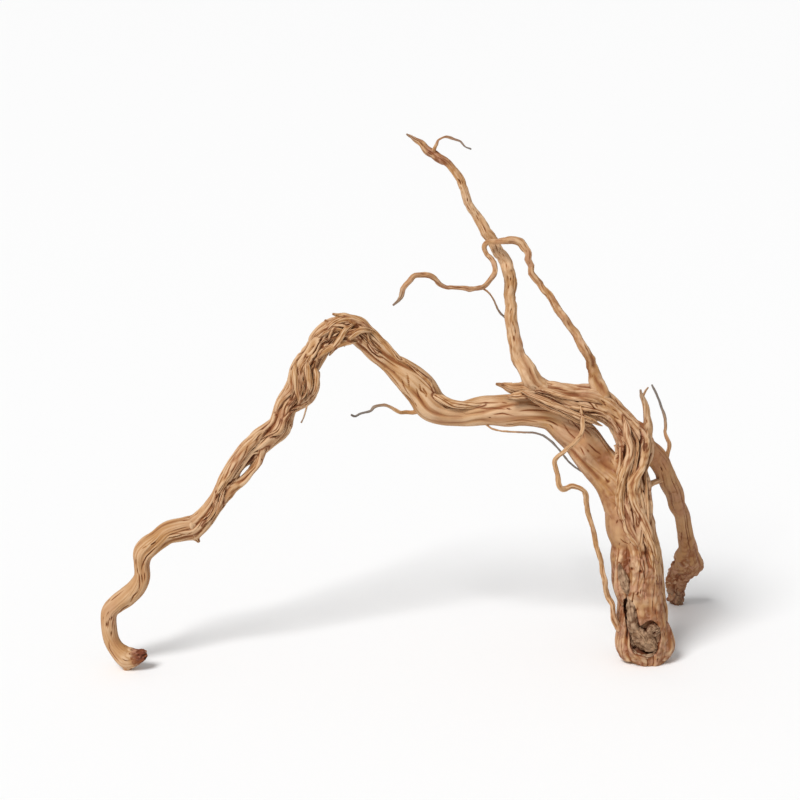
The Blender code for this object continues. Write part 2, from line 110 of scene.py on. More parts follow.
def crackLines(field, spacing, width):
    # A crack runs where the field is zero: exp(-(d / width)^2), where the distance d is the
    # field's value over its slope across the grain.
    slope = (np.roll(field, -1, 1) - np.roll(field, 1, 1)) / (2.0 * spacing)
    distance = np.abs(field) / np.maximum(np.abs(slope), 0.08)
    return np.exp(-(distance / width) ** 2)


def carvedLines(along, angle, radius, lines, leastWidth=0.25):
    # Cracks and pits listed one by one. Each path is a line of (along, angle) points on the unrolled limb,
    # and its depth falls off with the distance d as exp(-(d / width)^2). Towards its ends it narrows as the
    # square root of a half sine.
    depth = np.zeros(np.broadcast_shapes(along.shape, angle.shape))
    for width, deep, path in [(width, deep, path) for width, deep, paths in lines for path in paths]:
        width = max(width, leastWidth)
        stops = np.array(path, float)
        stops[:, 1] = np.radians(stops[:, 1])
        rows = (along[:, 0] > stops[:, 0].min() - 5) & (along[:, 0] < stops[:, 0].max() + 5)
        if not rows.any():
            continue
        s, turn, r = along[rows], angle[rows], radius[rows]
        best = np.zeros(np.broadcast_shapes(s.shape, turn.shape))
        spans = max(len(stops) - 1, 1)
        for index in range(spans):
            start, end = stops[index], stops[min(index + 1, len(stops) - 1)]
            across = (np.mod(turn - start[1] + math.pi, fullTurn) - math.pi) * r
            run, drift = end[0] - start[0], (end[1] - start[1]) * r
            size = np.maximum(run ** 2 + drift ** 2, 1e-6)
            t = np.clip(((s - start[0]) * run + across * drift) / size, 0.0, 1.0)
            distance = np.hypot(s - start[0] - t * run, across - t * drift)
            taper = 1.0 if len(stops) == 1 else np.sin(math.pi * (index + t) / spans)
            taper = np.maximum(taper, 0.0) ** 0.5 * 0.8 + 0.2
            best = np.maximum(best, taper * np.exp(-(distance / (width * taper)) ** 2))
        depth[rows] = np.maximum(depth[rows], deep * best)
    return depth


def smoothed(field, rowReach, columnReach):
    # Mean of the field over a window of rings and columns, closed round the limb.
    rows, columns = 2 * rowReach + 1, 2 * columnReach + 1
    padded = np.pad(field, ((rowReach, rowReach), (0, 0)), mode="edge")
    padded = np.pad(padded, ((0, 0), (columnReach, columnReach)), mode="wrap")
    sums = np.pad(padded.cumsum(0).cumsum(1), ((1, 0), (1, 0)))
    total = sums[rows:, columns:] - sums[:-rows, columns:] - sums[rows:, :-columns]
    total = total + sums[:-rows, :-columns]
    return total / (rows * columns)


def ripples(points, rng, terms, length):
    # Sum of sines in space, each with a random direction and a wavelength near the given length.
    total = 0.0
    for _ in range(terms):
        heading = rng.normal(size=3)
        heading *= fullTurn / length * rng.uniform(0.6, 1.4) / np.linalg.norm(heading)
        total = total + np.sin(points @ heading + rng.uniform(0.0, fullTurn))
    return total / math.sqrt(0.5 * terms)


def spotStrength(along, angle, spots):
    # 0 over most of a limb. In a spot it is strength * exp(-q^2), where q = (along / half
    # length)^2 + (angle / half width)^2 from the spot's middle.
    strength = np.zeros(np.broadcast_shapes(along.shape, angle.shape))
    for middle, facing, halfLength, halfWidth, most in spots:
        turned = np.mod(angle - math.radians(facing) + math.pi, fullTurn) - math.pi
        q = ((along - middle) / halfLength) ** 2 + (turned / math.radians(halfWidth)) ** 2
        strength = np.maximum(strength, most * np.exp(-q ** 2))
    return strength


def gapTo(points, centre, radius, reach):
    # Distance from each point to the nearest place on a tapered limb, less its radius there.
    gap = np.full(len(points), 1e3)
    margin = reach + radius.max()
    near = np.all((points > centre.min(0) - margin) & (points < centre.max(0) + margin), axis=1)
    chosen = points[near]
    best = np.full(len(chosen), 1e3)
    for start, end, r0, r1 in zip(centre, centre[1:], radius, radius[1:]):
        axis = end - start
        t = np.clip((chosen - start) @ axis / (axis @ axis), 0.0, 1.0)
        away = np.linalg.norm(chosen - start - t[:, None] * axis, axis=1)
        best = np.minimum(best, away - (r0 + (r1 - r0) * t))
    gap[near] = best
    return gap


def meetingSwell(points, size, name):
    # Limbs swell where they meet: by (k - d)^2 / 4k, where d is the gap to the other limb and
    # the reach k is 0.75 times the thinner radius. Along a strand's edge the crease is
    # exp(-(d / width)^2).
    creaseWidth = 0.7
    flat = points.reshape(-1, 3)
    swell = np.zeros(len(flat))
    crease = np.zeros(len(flat))
    for other, (centre, radius) in skeleton.items():
        if other == name:
            continue
        reach = float(np.clip(0.75 * min(size, np.mean(radius)), 0.6, 5.0))
        gap = gapTo(flat, centre, radius, reach)
        swell = np.maximum(swell, np.clip(reach - np.maximum(gap, 0.0), 0.0, None) ** 2 / (4.0 * reach))
        if name in strandNames or other in strandNames:
            crease = np.maximum(crease, np.exp(-(gap / creaseWidth) ** 2))
    return swell.reshape(points.shape[:2]), crease.reshape(points.shape[:2])


def closeEnds(rings, middle, tangent, blunt, values):
    # Both ends close with a quarter ellipse: at turn a the end ring is scaled by cos a and moved
    # out by blunt * radius * sin a. The last points are the two poles.
    capRings = 5
    turn = np.linspace(0.0, 0.5 * math.pi, capRings + 2)[1:-1][:, None, None]
    parts, poles = [rings], []
    for end, outward, share in ((0, -tangent[0], blunt[0]), (-1, tangent[-1], blunt[1])):
        centre = middle[end]
        length = share * np.mean(np.linalg.norm(rings[end] - centre, axis=1))
        cap = centre + (rings[end] - centre) * np.cos(turn) + outward * length * np.sin(turn)
        poles.append(centre + outward * length)
        parts = [cap[::-1]] + parts if end == 0 else parts + [cap]
    values = {key: np.vstack([value[:1]] * capRings + [value] + [value[-1:]] * capRings)
              for key, value in values.items()}
    rings, poles = np.vstack(parts), np.array(poles)
    rings[..., 2] = np.maximum(rings[..., 2], 0.0)     # the feet are flat on the ground
    poles[:, 2] = np.maximum(poles[:, 2], 0.0)
    return {"rings": rings, "poles": poles, "values": values}


def kinked(s, rng):
    # Straight lines between random sideways steps 5 to 12 mm apart, 0 at both ends.
    stops = np.cumsum(rng.uniform(5.0, 12.0, 200))
    steps = rng.normal(size=(200, 2)).clip(-1.5, 1.5)
    fade = np.clip(np.minimum(s, s[-1] - s) / 8.0, 0.0, 1.0)
    return np.column_stack([np.interp(s, stops, steps[:, k]) for k in range(2)]) * fade[:, None]


def smallMarks(length, count, rng):
    # Short cracks along the grain, with a random start, run, angle, width and depth.
    marks = []
    for _ in range(count):
        start, run, angle = rng.uniform(0.0, length), rng.uniform(1.0, 6.0), rng.uniform(-180.0, 180.0)
        width, depth = rng.uniform(0.25, 0.5), rng.uniform(0.5, 1.7)
        marks.append((width, depth, [[(start, angle), (start + run, angle + 5.0)]]))
    return marks


def makeLimb(name, limb, rng):
    # A limb is a tube: centre + r(s, angle) (cos angle * front + sin angle * side). The radius r
    # is the route's radius times the strand profile, plus ridges, less cracks. A ridge is
    # height * (|sum of sines| - 0.8) and a knob strength * (|ripples| - 0.6), both capped.
    centre, radius, s = curveThrough(limb["route"], limb["step"])
    if "taper" in limb:
        fromEnd = np.clip(np.minimum(s, s[-1] - s) / limb["taper"], 0.0, 1.0)
        radius = radius * (0.15 + 0.85 * np.sin(0.5 * math.pi * fromEnd))
    tangent, front, side = framesAlong(centre, limb.get("carried", False))
    stray = kinked(s, rng) * limb["kinks"] * radius[:, None]
    centre = centre + stray[:, :1] * front + stray[:, 1:] * side

    # places on the unrolled limb, and how rough it is there
    columns = limb["columns"]
    along = s[:, None]
    around = np.arange(columns)[None, :] * fullTurn / columns + 0.0 * along
    angle = around + np.radians(limb["twist"]) * along
    thick = radius[:, None]
    spacing = thick * fullTurn / columns
    rough = np.interp(s, *np.array(limb["rough"], float).T)[:, None]
    rough = rough * (1.0 - spotStrength(along, angle, limb.get("calm", [])))
    rough = rough + spotStrength(along, angle, limb.get("busy", []))

    # strands, ridges and fibres, which follow a wandering grain
    grain = around + limb["wander"] * waves(around, along, rng, 6, (1, 4), 60)
    profile, valley = strandProfile(grain, along, limb) if limb["strands"] else (1.0, 0.0 * around)
    bold = np.clip(rough, 0.0, 1.0)
    profile, valley = 1.0 + (profile - 1.0) * bold, valley * bold
    ridges = waves(grain, along, rng, 14, limb["ridges"], limb["grainLength"])
    height = thick * profile + rough * limb["ridgeHeight"] * (np.minimum(np.abs(ridges), 1.6) - 0.8)
    height = height + limb["unevenness"] * thick * waves(around, along, rng, 8, (1, 3), 22)
    fibres = waves(grain, along, rng, 14, limb["fibres"], limb["grainLength"] * 0.6)
    height = height + rough * limb["fibreHeight"] * fibres

    # cracks, knobs, and the notches and lines listed
    mask = np.clip(1.4 * waves(grain, along, rng, 8, (1, 6), 30) - limb["crackShare"], 0.0, 1.0)
    cracks = crackLines(ridges, spacing, limb["crackWidth"]) * mask * np.minimum(rough, 1.5)
    height = height - limb["crackDepth"] * cracks
    fibre = np.stack([thick * np.cos(grain), thick * np.sin(grain), along + 0.0 * grain], axis=-1)
    bulges = np.minimum(np.abs(ripples(fibre * (1.0, 1.0, 0.4), rng, 16, limb["knobLength"])), 1.6) - 0.6
    height = height + spotStrength(along, angle, limb.get("knobs", [])) * bulges
    height = height - carvedLines(along, angle, thick, limb.get("notched", []))
    marks = smallMarks(s[-1], round(limb["marks"] * s[-1]), rng)
    scale = min(1.0, float(np.mean(radius)) / 5.0)
    carved = carvedLines(along, angle, thick, limb.get("carved", []), limb.get("lineWidth", 0.4))
    carved = np.maximum(carved, scale * carvedLines(along, angle, thick, marks))
    height = np.maximum(height - carved, 0.3 * thick)
    # How far a point lies below the mean of its neighbours: painted shade where it is low, painted highlight
    # where it stands out.
    shadeHighlightAndPale = (smoothed(height, *limb["window"]) - height) / limb["reliefScale"]

    # the surface in space
    outward = np.cos(angle)[..., None] * front[:, None] + np.sin(angle)[..., None] * side[:, None]
    rings = centre[:, None] + height[..., None] * outward
    swell, crease = meetingSwell(rings, float(np.mean(radius)), name)
    rings += swell[..., None] * outward
    if "shape" in limb:
        rings, extra = limb["shape"](rings, along, rng)
    else:
        extra = {}

    # what the wood finish reads at each point, painted shade and painted highlight among it
    # Where limbs meet, painted shade goes into the crease along a strand's edge.
    crease = crease * np.clip(0.6 + 0.5 * waves(grain, along, rng, 5, (1, 5), 24), 0.0, 1.0)
    deep = np.clip(carved / 1.7, 0.0, 1.0) ** 1.2
    # Painted shade in cracks, carved lines and creases, partly the darker wood inside the cracks.
    cavityShade = np.clip(0.55 * cracks + deep + 0.6 * crease, 0.0, 1.0)
    greyFrom = limb.get("greyFrom", never)
    stain = np.interp(s, *np.array(limb.get("stain", nowhere), float).T)[:, None]
    mottle = 0.6 + 0.35 * ripples(rings, rng, 8, 16.0) + 0.35 * ripples(rings, rng, 10, 6.0)
    stain = stain * np.clip(mottle, 0.0, 1.4)
    pale = np.interp(s, *np.array(limb.get("pale", nowhere), float).T)[:, None]
    # The paler parts of the wood go into the same value as the painted highlight.
    shadeHighlightAndPale = shadeHighlightAndPale - pale * np.clip(0.7 + 0.5 * ripples(rings, rng, 8, 20.0), 0.0, 1.3)
    # valley carries the painted shade between the strands.
    values = {"cavityShade": cavityShade, "valley": valley + 0.0 * cavityShade, "grain": fibre,
              "grey": np.clip((along - greyFrom) / 25.0, 0.0, 1.0) + 0.0 * cavityShade,
              "shadeHighlightAndPale": np.clip(shadeHighlightAndPale, -1.0, 1.0), "torn": stain,
              "burr": limb.get("burr", 0.0) + 0.0 * cavityShade}
    for key, value in extra.items():
        values[key] = np.clip(np.maximum(values[key], value), 0.0, 1.0)
    return closeEnds(rings, centre, tangent, limb.get("blunt", (0.7, 0.7)), values)


def tubeFaces(rows, columns, first):
    # Corner numbers of the quads between rings, and of the triangles that fan to each pole.
    ring = first + np.arange(rows - 1)[:, None] * columns
    j = np.arange(columns)[None, :]
    k = (j + 1) % columns
    quads = np.stack([ring + j, ring + k, ring + columns + k, ring + columns + j], -1).reshape(-1, 4)
    pole = first + rows * columns
    last = first + (rows - 1) * columns
    starts = np.stack([np.full_like(j, pole), first + k, first + j], -1).reshape(-1, 3)
    ends = np.stack([np.full_like(j, pole + 1), last + j, last + k], -1).reshape(-1, 3)
    return quads, np.vstack([starts, ends])


def tubePlaces(rows, columns, cell):
    # UV places: around the tube from left to right of its cell, along it from bottom to top.
    left, bottom, size = cell
    i = np.arange(rows - 1)[:, None] + 1.0 + 0.0 * np.arange(columns)
    j = np.arange(columns)[None, :] + 0.0 * i
    u = np.stack([j, j + 1, j + 1, j], -1).reshape(-1) / columns
    v = np.stack([i, i, i + 1, i + 1], -1).reshape(-1) / (rows + 1)
    flat = np.arange(columns, dtype=float)
    uStart = np.stack([flat + 0.5, flat + 1, flat], -1).reshape(-1) / columns
    uEnd = np.stack([flat + 0.5, flat, flat + 1], -1).reshape(-1) / columns
    vStart = np.tile([0.0, 1.0, 1.0], columns) / (rows + 1)
    vEnd = np.tile([rows + 1.0, rows, rows], columns) / (rows + 1)
    quads = np.stack([u, v], -1)
    fans = np.stack([np.append(uStart, uEnd), np.append(vStart, vEnd)], -1)
    return quads * size + (left, bottom), fans * size + (left, bottom)


def addPiece(name, tubes, material):
    # All the tubes of a piece go into one mesh, each with its own square cell of the UV map.
    side = math.ceil(math.sqrt(len(tubes)))
    margin = 0.01
    vertices, quads, fans, quadPlaces, fanPlaces = [], [], [], [], []
    values = {key: [] for key in tubes[0]["values"]}
    first = 0
    for index, tube in enumerate(tubes):
        rows, columns = tube["rings"].shape[:2]
        quad, fan = tubeFaces(rows, columns, first)
        cell = ((index % side + margin) / side, (index // side + margin) / side,
                (1.0 - 2.0 * margin) / side)
        quadPlace, fanPlace = tubePlaces(rows, columns, cell)
        vertices.append(np.vstack([tube["rings"].reshape(-1, 3), tube["poles"]]))
        quads.append(quad)
        fans.append(fan)
        quadPlaces.append(quadPlace)
        fanPlaces.append(fanPlace)
        for key, value in tube["values"].items():
            flat = value.reshape(rows * columns, -1)
            values[key].append(np.vstack([flat, flat[:1], flat[-1:]]))
        first += rows * columns + 2
    vertices, quads, fans = np.vstack(vertices) * millimetre, np.vstack(quads), np.vstack(fans)
    mesh = bpy.data.meshes.new(name)
    mesh.vertices.add(len(vertices))
    mesh.vertices.foreach_set("co", vertices.ravel())
    corners = np.concatenate([quads.ravel(), fans.ravel()])
    starts = np.concatenate([np.arange(len(quads)) * 4, len(quads) * 4 + np.arange(len(fans)) * 3])
    mesh.loops.add(len(corners))
    mesh.loops.foreach_set("vertex_index", corners.astype(np.int32))
    mesh.polygons.add(len(starts))
    mesh.polygons.foreach_set("loop_start", starts.astype(np.int32))
    places = mesh.uv_layers.new(name="OFBake")
    places.data.foreach_set("uv", np.vstack(quadPlaces + fanPlaces).ravel())
    for key, parts in values.items():
        flat = np.vstack(parts)
        kind, field = ("FLOAT_VECTOR", "vector") if flat.shape[1] == 3 else ("FLOAT", "value")
        mesh.attributes.new(key, kind, "POINT").data.foreach_set(field, flat.ravel())
    mesh.update(calc_edges=True)
    mesh.validate()
    mesh.shade_smooth()
    mesh.materials.append(material)
    piece = bpy.data.objects.new(name, mesh)
    bpy.context.scene.collection.objects.link(piece)
    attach(piece, "root")
    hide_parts("aquarium_root")
    print(name, len(quads) * 2 + len(fans), "triangles")


wood = {
    "tan": (0.50, 0.285, 0.140),
    "honey": (0.44, 0.225, 0.086),
    "rose": (0.40, 0.185, 0.092),
    # brown: grain streaks and fibres, and painted shade in the strand valleys
    "brown": (0.23, 0.082, 0.026),
    # pale: painted highlight on crests, and the paler parts of the wood
    "pale": (0.68, 0.46, 0.28),
    # redBrown: painted shade in low places and cracks, and real stain spots
    "redBrown": (0.23, 0.070, 0.020),
    "flush": (0.52, 0.27, 0.165),
    # painted shade in the deepest cracks, partly the darker wood inside them
    "crackShade": (0.100, 0.027, 0.008),
    "torn": (0.165, 0.045, 0.022),
    "greyTip": (0.20, 0.165, 0.14),
    "burrLight": (0.36, 0.235, 0.150),
    "burrDark": (0.105, 0.055, 0.030),
    "roughness": 0.66, "specular": 0.2, "bump": 0.35, "bumpDepth": 0.0004,
    # noise features for each metre, and for each millimetre of grain
    "patchScale": 24.0, "blushScale": 41.0, "clearScale": 70.0, "spotScale": 170.0, "burrScale": 300.0,
    "fibreScale": 1.7, "streakScale": 1.0,
}


def addNode(tree, kind, inputs=None, **settings):
    # A node with its settings made and its inputs set to a value or joined to another output.
    node = tree.nodes.new(kind)
    for key, value in settings.items():
        setattr(node, key, value)
    for key, value in (inputs or {}).items():
        if isinstance(value, bpy.types.NodeSocket):
            tree.links.new(value, node.inputs[key])
        else:
            node.inputs[key].default_value = value
    return node


def mixColour(tree, factor, first, second):
    # first + factor (second - first), for colours that are values or other nodes' outputs.
    node = addNode(tree, "ShaderNodeMix", data_type="RGBA")
    for socket, value in ((node.inputs[0], factor), (node.inputs[6], first), (node.inputs[7], second)):
        if isinstance(value, bpy.types.NodeSocket):
            tree.links.new(value, socket)
        elif isinstance(value, tuple):
            socket.default_value = (*value, 1.0)
        else:
            socket.default_value = value
    return node.outputs[2]


def ramp(tree, value, low, high, lowOut=0.0, highOut=1.0):
    # Straight line from lowOut at low to highOut at high, held flat outside.
    node = addNode(tree, "ShaderNodeMapRange", {"Value": value, "From Min": low, "From Max": high,
                                                "To Min": lowOut, "To Max": highOut}, clamp=True)
    return node.outputs[0]


def noise(tree, vector, scale, detail, **more):
    # Blender's noise, 0.5 on average. More inputs are its roughness and its distortion.
    inputs = {"Vector": vector, "Scale": scale, "Detail": detail, **more}
    return addNode(tree, "ShaderNodeTexNoise", inputs).outputs["Fac"]


def product(tree, first, second):
    # first * second
    return addNode(tree, "ShaderNodeMath", {0: first, 1: second}, operation="MULTIPLY").outputs[0]


def driftwood():
    # Patches of tan, honey and rose come first. Over them each layer mixes its colour in by its factor: pale
    # crests (painted highlight, with the paler parts of the wood), streaks and fibres, painted shade in
    # valleys and low places, dark cracks (painted shade, partly darker wood), burr, stain and grey.
    material = bpy.data.materials.new("driftwood")
    material.use_nodes = True
    tree = material.node_tree
    shader = tree.nodes["Principled BSDF"]
    place = addNode(tree, "ShaderNodeTexCoord").outputs["Object"]
    grain = addNode(tree, "ShaderNodeAttribute", attribute_name="grain").outputs["Vector"]
    cavityShade, valley, shadeHighlightAndPale, torn, grey, burr = [
        addNode(tree, "ShaderNodeAttribute", attribute_name=name).outputs["Fac"]
        for name in ("cavityShade", "valley", "shadeHighlightAndPale", "torn", "grey", "burr")]
    fineGrain = addNode(tree, "ShaderNodeMapping", {"Vector": grain, "Scale": (1.0, 1.0, 0.07)}).outputs[0]
    longGrain = addNode(tree, "ShaderNodeMapping", {"Vector": grain, "Scale": (0.35, 0.35, 0.035)}).outputs[0]
    fibres = noise(tree, fineGrain, wood["fibreScale"], 5.0, Roughness=0.62)
    streaks = noise(tree, longGrain, wood["streakScale"], 4.0, Roughness=0.6)
    patches = noise(tree, place, wood["patchScale"], 3.0)
    blush = noise(tree, place, wood["blushScale"], 4.0, Distortion=0.6)
    clear = noise(tree, place, wood["clearScale"], 3.0)
    spots = noise(tree, place, wood["spotScale"], 4.0, Distortion=0.8)
    burrSpots = noise(tree, place, wood["burrScale"], 5.0)
    burrColour = mixColour(tree, ramp(tree, burrSpots, 0.38, 0.60), wood["burrDark"], wood["burrLight"])
    seenFibres = product(tree, ramp(tree, fibres, 0.56, 0.76, 0.0, 0.45), ramp(tree, clear, 0.40, 0.62, 0.3))
    stained = ramp(tree, torn, 0.03, 0.35)
    colour = mixColour(tree, ramp(tree, patches, 0.38, 0.62), wood["tan"], wood["honey"])
    for factor, tint in (
        (ramp(tree, blush, 0.50, 0.68, 0.0, 0.75), wood["rose"]),
        # pale on crests: painted highlight, and the paler parts of the wood
        (ramp(tree, shadeHighlightAndPale, 0.0, -0.8, 0.0, 0.75), wood["pale"]),
        (ramp(tree, streaks, 0.54, 0.78, 0.0, 0.20), wood["brown"]),
        (seenFibres, wood["brown"]),
        # painted shade in the valleys between strands
        (ramp(tree, valley, 0.10, 1.0, 0.0, 0.6), wood["brown"]),
        # painted shade in low places
        (ramp(tree, shadeHighlightAndPale, 0.15, 0.9, 0.0, 0.8), wood["redBrown"]),
        # painted shade in cracks, creases and hollows, partly the darker wood inside the cracks
        (ramp(tree, cavityShade, 0.08, 0.50, 0.0, 0.9), wood["redBrown"]),
        (ramp(tree, cavityShade, 0.45, 0.95), wood["crackShade"]),
        (burr, burrColour),
        (torn, wood["torn"]),
        (product(tree, ramp(tree, spots, 0.50, 0.66, 0.0, 0.85), stained), wood["redBrown"]),
        (product(tree, ramp(tree, spots, 0.48, 0.38, 0.0, 0.6), stained), wood["flush"]),
        # painted shade again, darkest in the deepest cracks
        (ramp(tree, cavityShade, 0.30, 0.90), wood["crackShade"]),
        (grey, wood["greyTip"]),
    ):
        colour = mixColour(tree, factor, colour, tint)
    tree.links.new(colour, shader.inputs["Base Color"])
    rough = ramp(tree, streaks, 0.3, 0.7, wood["roughness"] - 0.08, wood["roughness"] + 0.12)
    tree.links.new(rough, shader.inputs["Roughness"])
    bump = addNode(tree, "ShaderNodeBump", {"Height": fibres, "Strength": wood["bump"],
                                            "Distance": wood["bumpDepth"]})
    tree.links.new(bump.outputs[0], shader.inputs["Normal"])
    shader.inputs["Specular IOR Level"].default_value = wood["specular"]
    return material


driftwoodFinish = driftwood()
print("wood finish made")


arm = {
    "step": 1.3, "columns": 184, "strands": 6, "depth": 0.32, "twist": -0.55, "seed": 0,
    "wander": 0.10, "ridges": (5, 13), "grainLength": 38.0, "ridgeHeight": 0.55,
    "fibres": (24, 52), "fibreHeight": 0.07, "unevenness": 0.035,
    "crackShare": 0.35, "crackWidth": 0.42, "crackDepth": 1.3,
    "kinks": 0.0, "marks": 0.4, "knobLength": 6.5, "lineWidth": 0.5,
    "window": (3, 9), "reliefScale": 0.55,
    "rough": [
        (0, 0.12), (60, 0.12), (100, 0.26), (140, 0.45), (190, 0.75), (290, 0.9),
        (330, 1.1), (375, 1.1), (395, 0.5),
        (440, 0.28), (480, 0.22), (560, 0.20), (650, 0.2),
    ],
    "pale": [(0, 0.2), (60, 0.2), (95, 0.0), (395, 0.0), (415, 0.3), (520, 0.25), (545, 0.0)],
    "stain": [(0, 0.0), (240, 0.0), (260, 0.12), (300, 0.04), (520, 0.0), (560, 0.14),
              (600, 0.22), (650, 0.2)],
    "knobs": [(312, 0, 20, 200, 0.6), (348, 0, 24, 200, 0.45), (4, 0, 12, 200, 0.5), (262, 60, 14, 60, 0.5)],
    "notched": [(4.5, 1.9, [[(219, 88), (212, 90), (206, 92)]])],
    "blunt": (0.5, 0.5),
    "carved": [
        (0.3, 0.6, [[(148, 17), (151, 4)], [(52, 46), (42, 32)], [(389, -38), (394, -44), (399, -49)]]),
        (0.3, 0.7, [[(507, 28), (519, 27), (526, 27)]]), (0.3, 0.8, [[(481, -28), (491, -28), (503, -19)],
        [(516, -38), (526, -37), (537, -34)]]), (0.35, 0.8, [[(95, -1), (88, 22)], [(96, 29), (90, 32)],
        [(74, -56), (64, -56), (61, -56)], [(134, 0), (140, 0), (145, 2)],
        [(132, 15), (138, 15), (144, 16)], [(426, 38), (432, 41), (437, 36)],
        [(448, -40), (461, -41), (471, -39)]]), (0.35, 0.9, [[(172, -5), (167, -12), (161, -32)],
        [(262, 32), (259, 64), (256, 79)], [(424, -23), (430, -20), (432, -10)],
        [(437, -62), (451, -89), (460, -67)], [(567, -54), (576, -55), (585, -60)]]),
        (0.35, 1, [[(310, -6), (304, 11), (300, 21)], [(307, -17), (303, -9)], [(306, -30), (300, -17)],
        [(545, -12), (553, -1), (561, 2)]]), (0.4, 0.9, [[(34, 0), (28, -30), (20, -26), (17, -23)],
        [(251, -38), (247, -26)]]), (0.4, 1, [[(82, 18), (77, 11), (72, 32)],
        [(249, -34), (244, -34), (239, -39)], [(203, -40), (198, -39), (191, -39)],
        [(409, -19), (413, 0), (418, 20)], [(409, 15), (413, 29), (419, 35), (426, 37)],
        [(477, -48), (485, -49), (496, -47)], [(491, -3), (499, -6), (507, 4)]]),
        (0.4, 1.1, [[(420, -21), (425, -10), (430, -17)], [(421, -3), (429, 12), (435, 9)],
        [(511, -12), (521, -18), (534, -27)], [(545, -40), (555, -34), (565, -17)],
        [(547, -49), (557, -43), (567, -37)], [(568, 10), (574, 16)]]),
        (0.4, 1.2, [[(273, -29), (269, -36)], [(297, -17), (288, -26), (281, -33)],
        [(295, -9), (288, -9), (283, -6)], [(298, 22), (293, 23), (289, 27)],
        [(310, -38), (312, -31), (316, -18)]]), (0.45, 0.9, [[(143, -77), (151, -59)]]),
        (0.45, 1.1, [[(96, -17), (90, -10), (83, 19)]]),
        (0.45, 1.2, [[(412, -69), (417, -51), (423, -49), (430, -54)],
        [(417, -57), (421, -54), (426, -60)]]), (0.45, 1.3, [[(335, -21), (330, -19), (328, -2)],
        [(337, 30), (330, 27)]]), (0.45, 1.4, [[(299, -3), (295, 2), (292, 12)],
        [(299, 40), (297, 36), (294, 31)]]), (0.5, 1.2, [[(122, 16), (114, 19), (107, 25), (98, 8)],
        [(532, 14), (538, 11), (544, 6)]]), (0.5, 1.3, [[(175, 27), (169, 7), (163, -8), (156, 5)],
        [(369, -9), (373, -18), (377, -22)], [(569, -14), (575, -19), (580, -29)]]),
        (0.5, 1.5, [[(267, -78), (262, -38), (256, -35)], [(276, 41), (269, 40), (264, 35)],
        [(325, -29), (321, -32), (317, -32)]]), (0.6, 1.6, [[(341, -42), (337, -34)],
        [(369, -8), (373, 7), (378, 10), (384, 3), (388, -5)]]),
        (0.6, 1.8, [[(277, -46), (275, -51), (273, -55)], [(306, 44), (315, 43), (319, 33)],
        [(346, 1), (342, 16), (336, 20)]]), (0.7, 0.9, [[(258, 27)], [(401, 16)]]),
        (0.7, 1.3, [[(597, 7), (600, 9), (599, -5)]]),
        (0.7, 2, [[(205, 42), (198, 26), (193, -6), (191, -25)]]), (0.8, 1.6, [[(316, 3)]]),
        (0.8, 1.8, [[(327, 40), (334, 78)]]), (0.8, 2, [[(352, -2), (355, -6)]]),
        (0.8, 2.2, [[(352, -23), (355, -27), (358, -28)]]),
        (0.8, 2.4, [[(243, -29), (237, -30), (232, -29), (228, -21), (218, -20), (210, -19)]]),
        (0.9, 1.6, [[(70, 41), (65, 48), (58, 59)], [(303, 27), (301, 29)], [(304, -69)]]),
        (0.9, 2.2, [[(353, -39), (355, -38)]]), (0.9, 2.4, [[(190, 2), (185, -13), (179, -19)]]),
        (0.9, 2.6, [[(351, -56), (348, -44), (347, -28), (346, 1)], [(358, -55), (361, -85), (364, -47)],
        [(364, -47), (369, -55), (376, -55), (383, -61)]]), (1.1, 2, [[(359, 0), (361, 2)]]),
        (1.3, 2, [[(255, -2), (247, 10)]]), (1.8, 3, [[(228, 19), (222, 35), (215, 49), (209, 50)]]),
    ],
    "route": [
        (-202.5, -69, 13, 4.0), (-207, -69, 11.4, 5.6), (-211, -68, 10, 7), (-217, -67, 10, 7.5),
        (-223, -66, 15, 6.5), (-227.5, -65, 23, 6), (-229, -64, 34, 6), (-228, -63, 44.5, 6.4),
        (-222.5, -61, 50.5, 7), (-215, -59, 56, 7.6), (-208, -57, 62, 7), (-204, -56, 70, 6),
        (-204, -55, 80, 6), (-202.5, -54, 88, 7.8), (-198, -52, 93, 8.3), (-191.5, -50, 98, 8),
        (-184, -48, 103, 8.5), (-173, -46, 105, 8.5), (-164.5, -44, 106, 8.4), (-156.5, -42, 112.5, 7.8),
        (-150, -40, 120, 7), (-145, -38, 128, 6.5), (-141.5, -36, 137, 6.3), (-136.5, -34, 145, 6.6),
        (-129.5, -32, 154, 7.8), (-122, -30, 162, 8.6), (-114, -28, 168, 9.5), (-106, -26, 174, 9),
        (-100, -25, 180, 8.8), (-97, -24, 188, 8), (-93.5, -23, 196, 8.5), (-88, -22, 202, 10.5),
        (-83, -21, 209, 12.5), (-81, -20, 218, 12), (-80, -19, 224.5, 10), (-76, -18, 230, 9.3),
        (-71, -17, 237, 8.7), (-67, -16, 244, 9), (-60, -15, 250.5, 9.2), (-51, -14, 253, 9.5),
        (-41, -13, 252, 9.5), (-34, -12, 243, 8.8), (-26, -11, 234, 8.3), (-17, -11, 226, 8),
        (-8, -11, 219, 10.6), (0, -11, 212, 12.2), (6.5, -11, 203.5, 12.5), (14, -12, 193, 12.3),
        (24.5, -13, 187.5, 10.4), (37, -14, 186.5, 9.5), (48, -15, 188, 10.5), (59, -16, 189, 11.5),
        (72, -18, 190, 12.2), (89, -21, 191, 12), (105, -23, 188, 12), (117, -26, 179, 13.5),
        (126.5, -28, 171.5, 14), (134, -31, 163, 14.3), (142, -33, 152, 14), (151.5, -36, 140, 14),
        (158, -38, 126, 15), (164, -40, 111, 13), (168, -42, 96, 9),
    ],
}


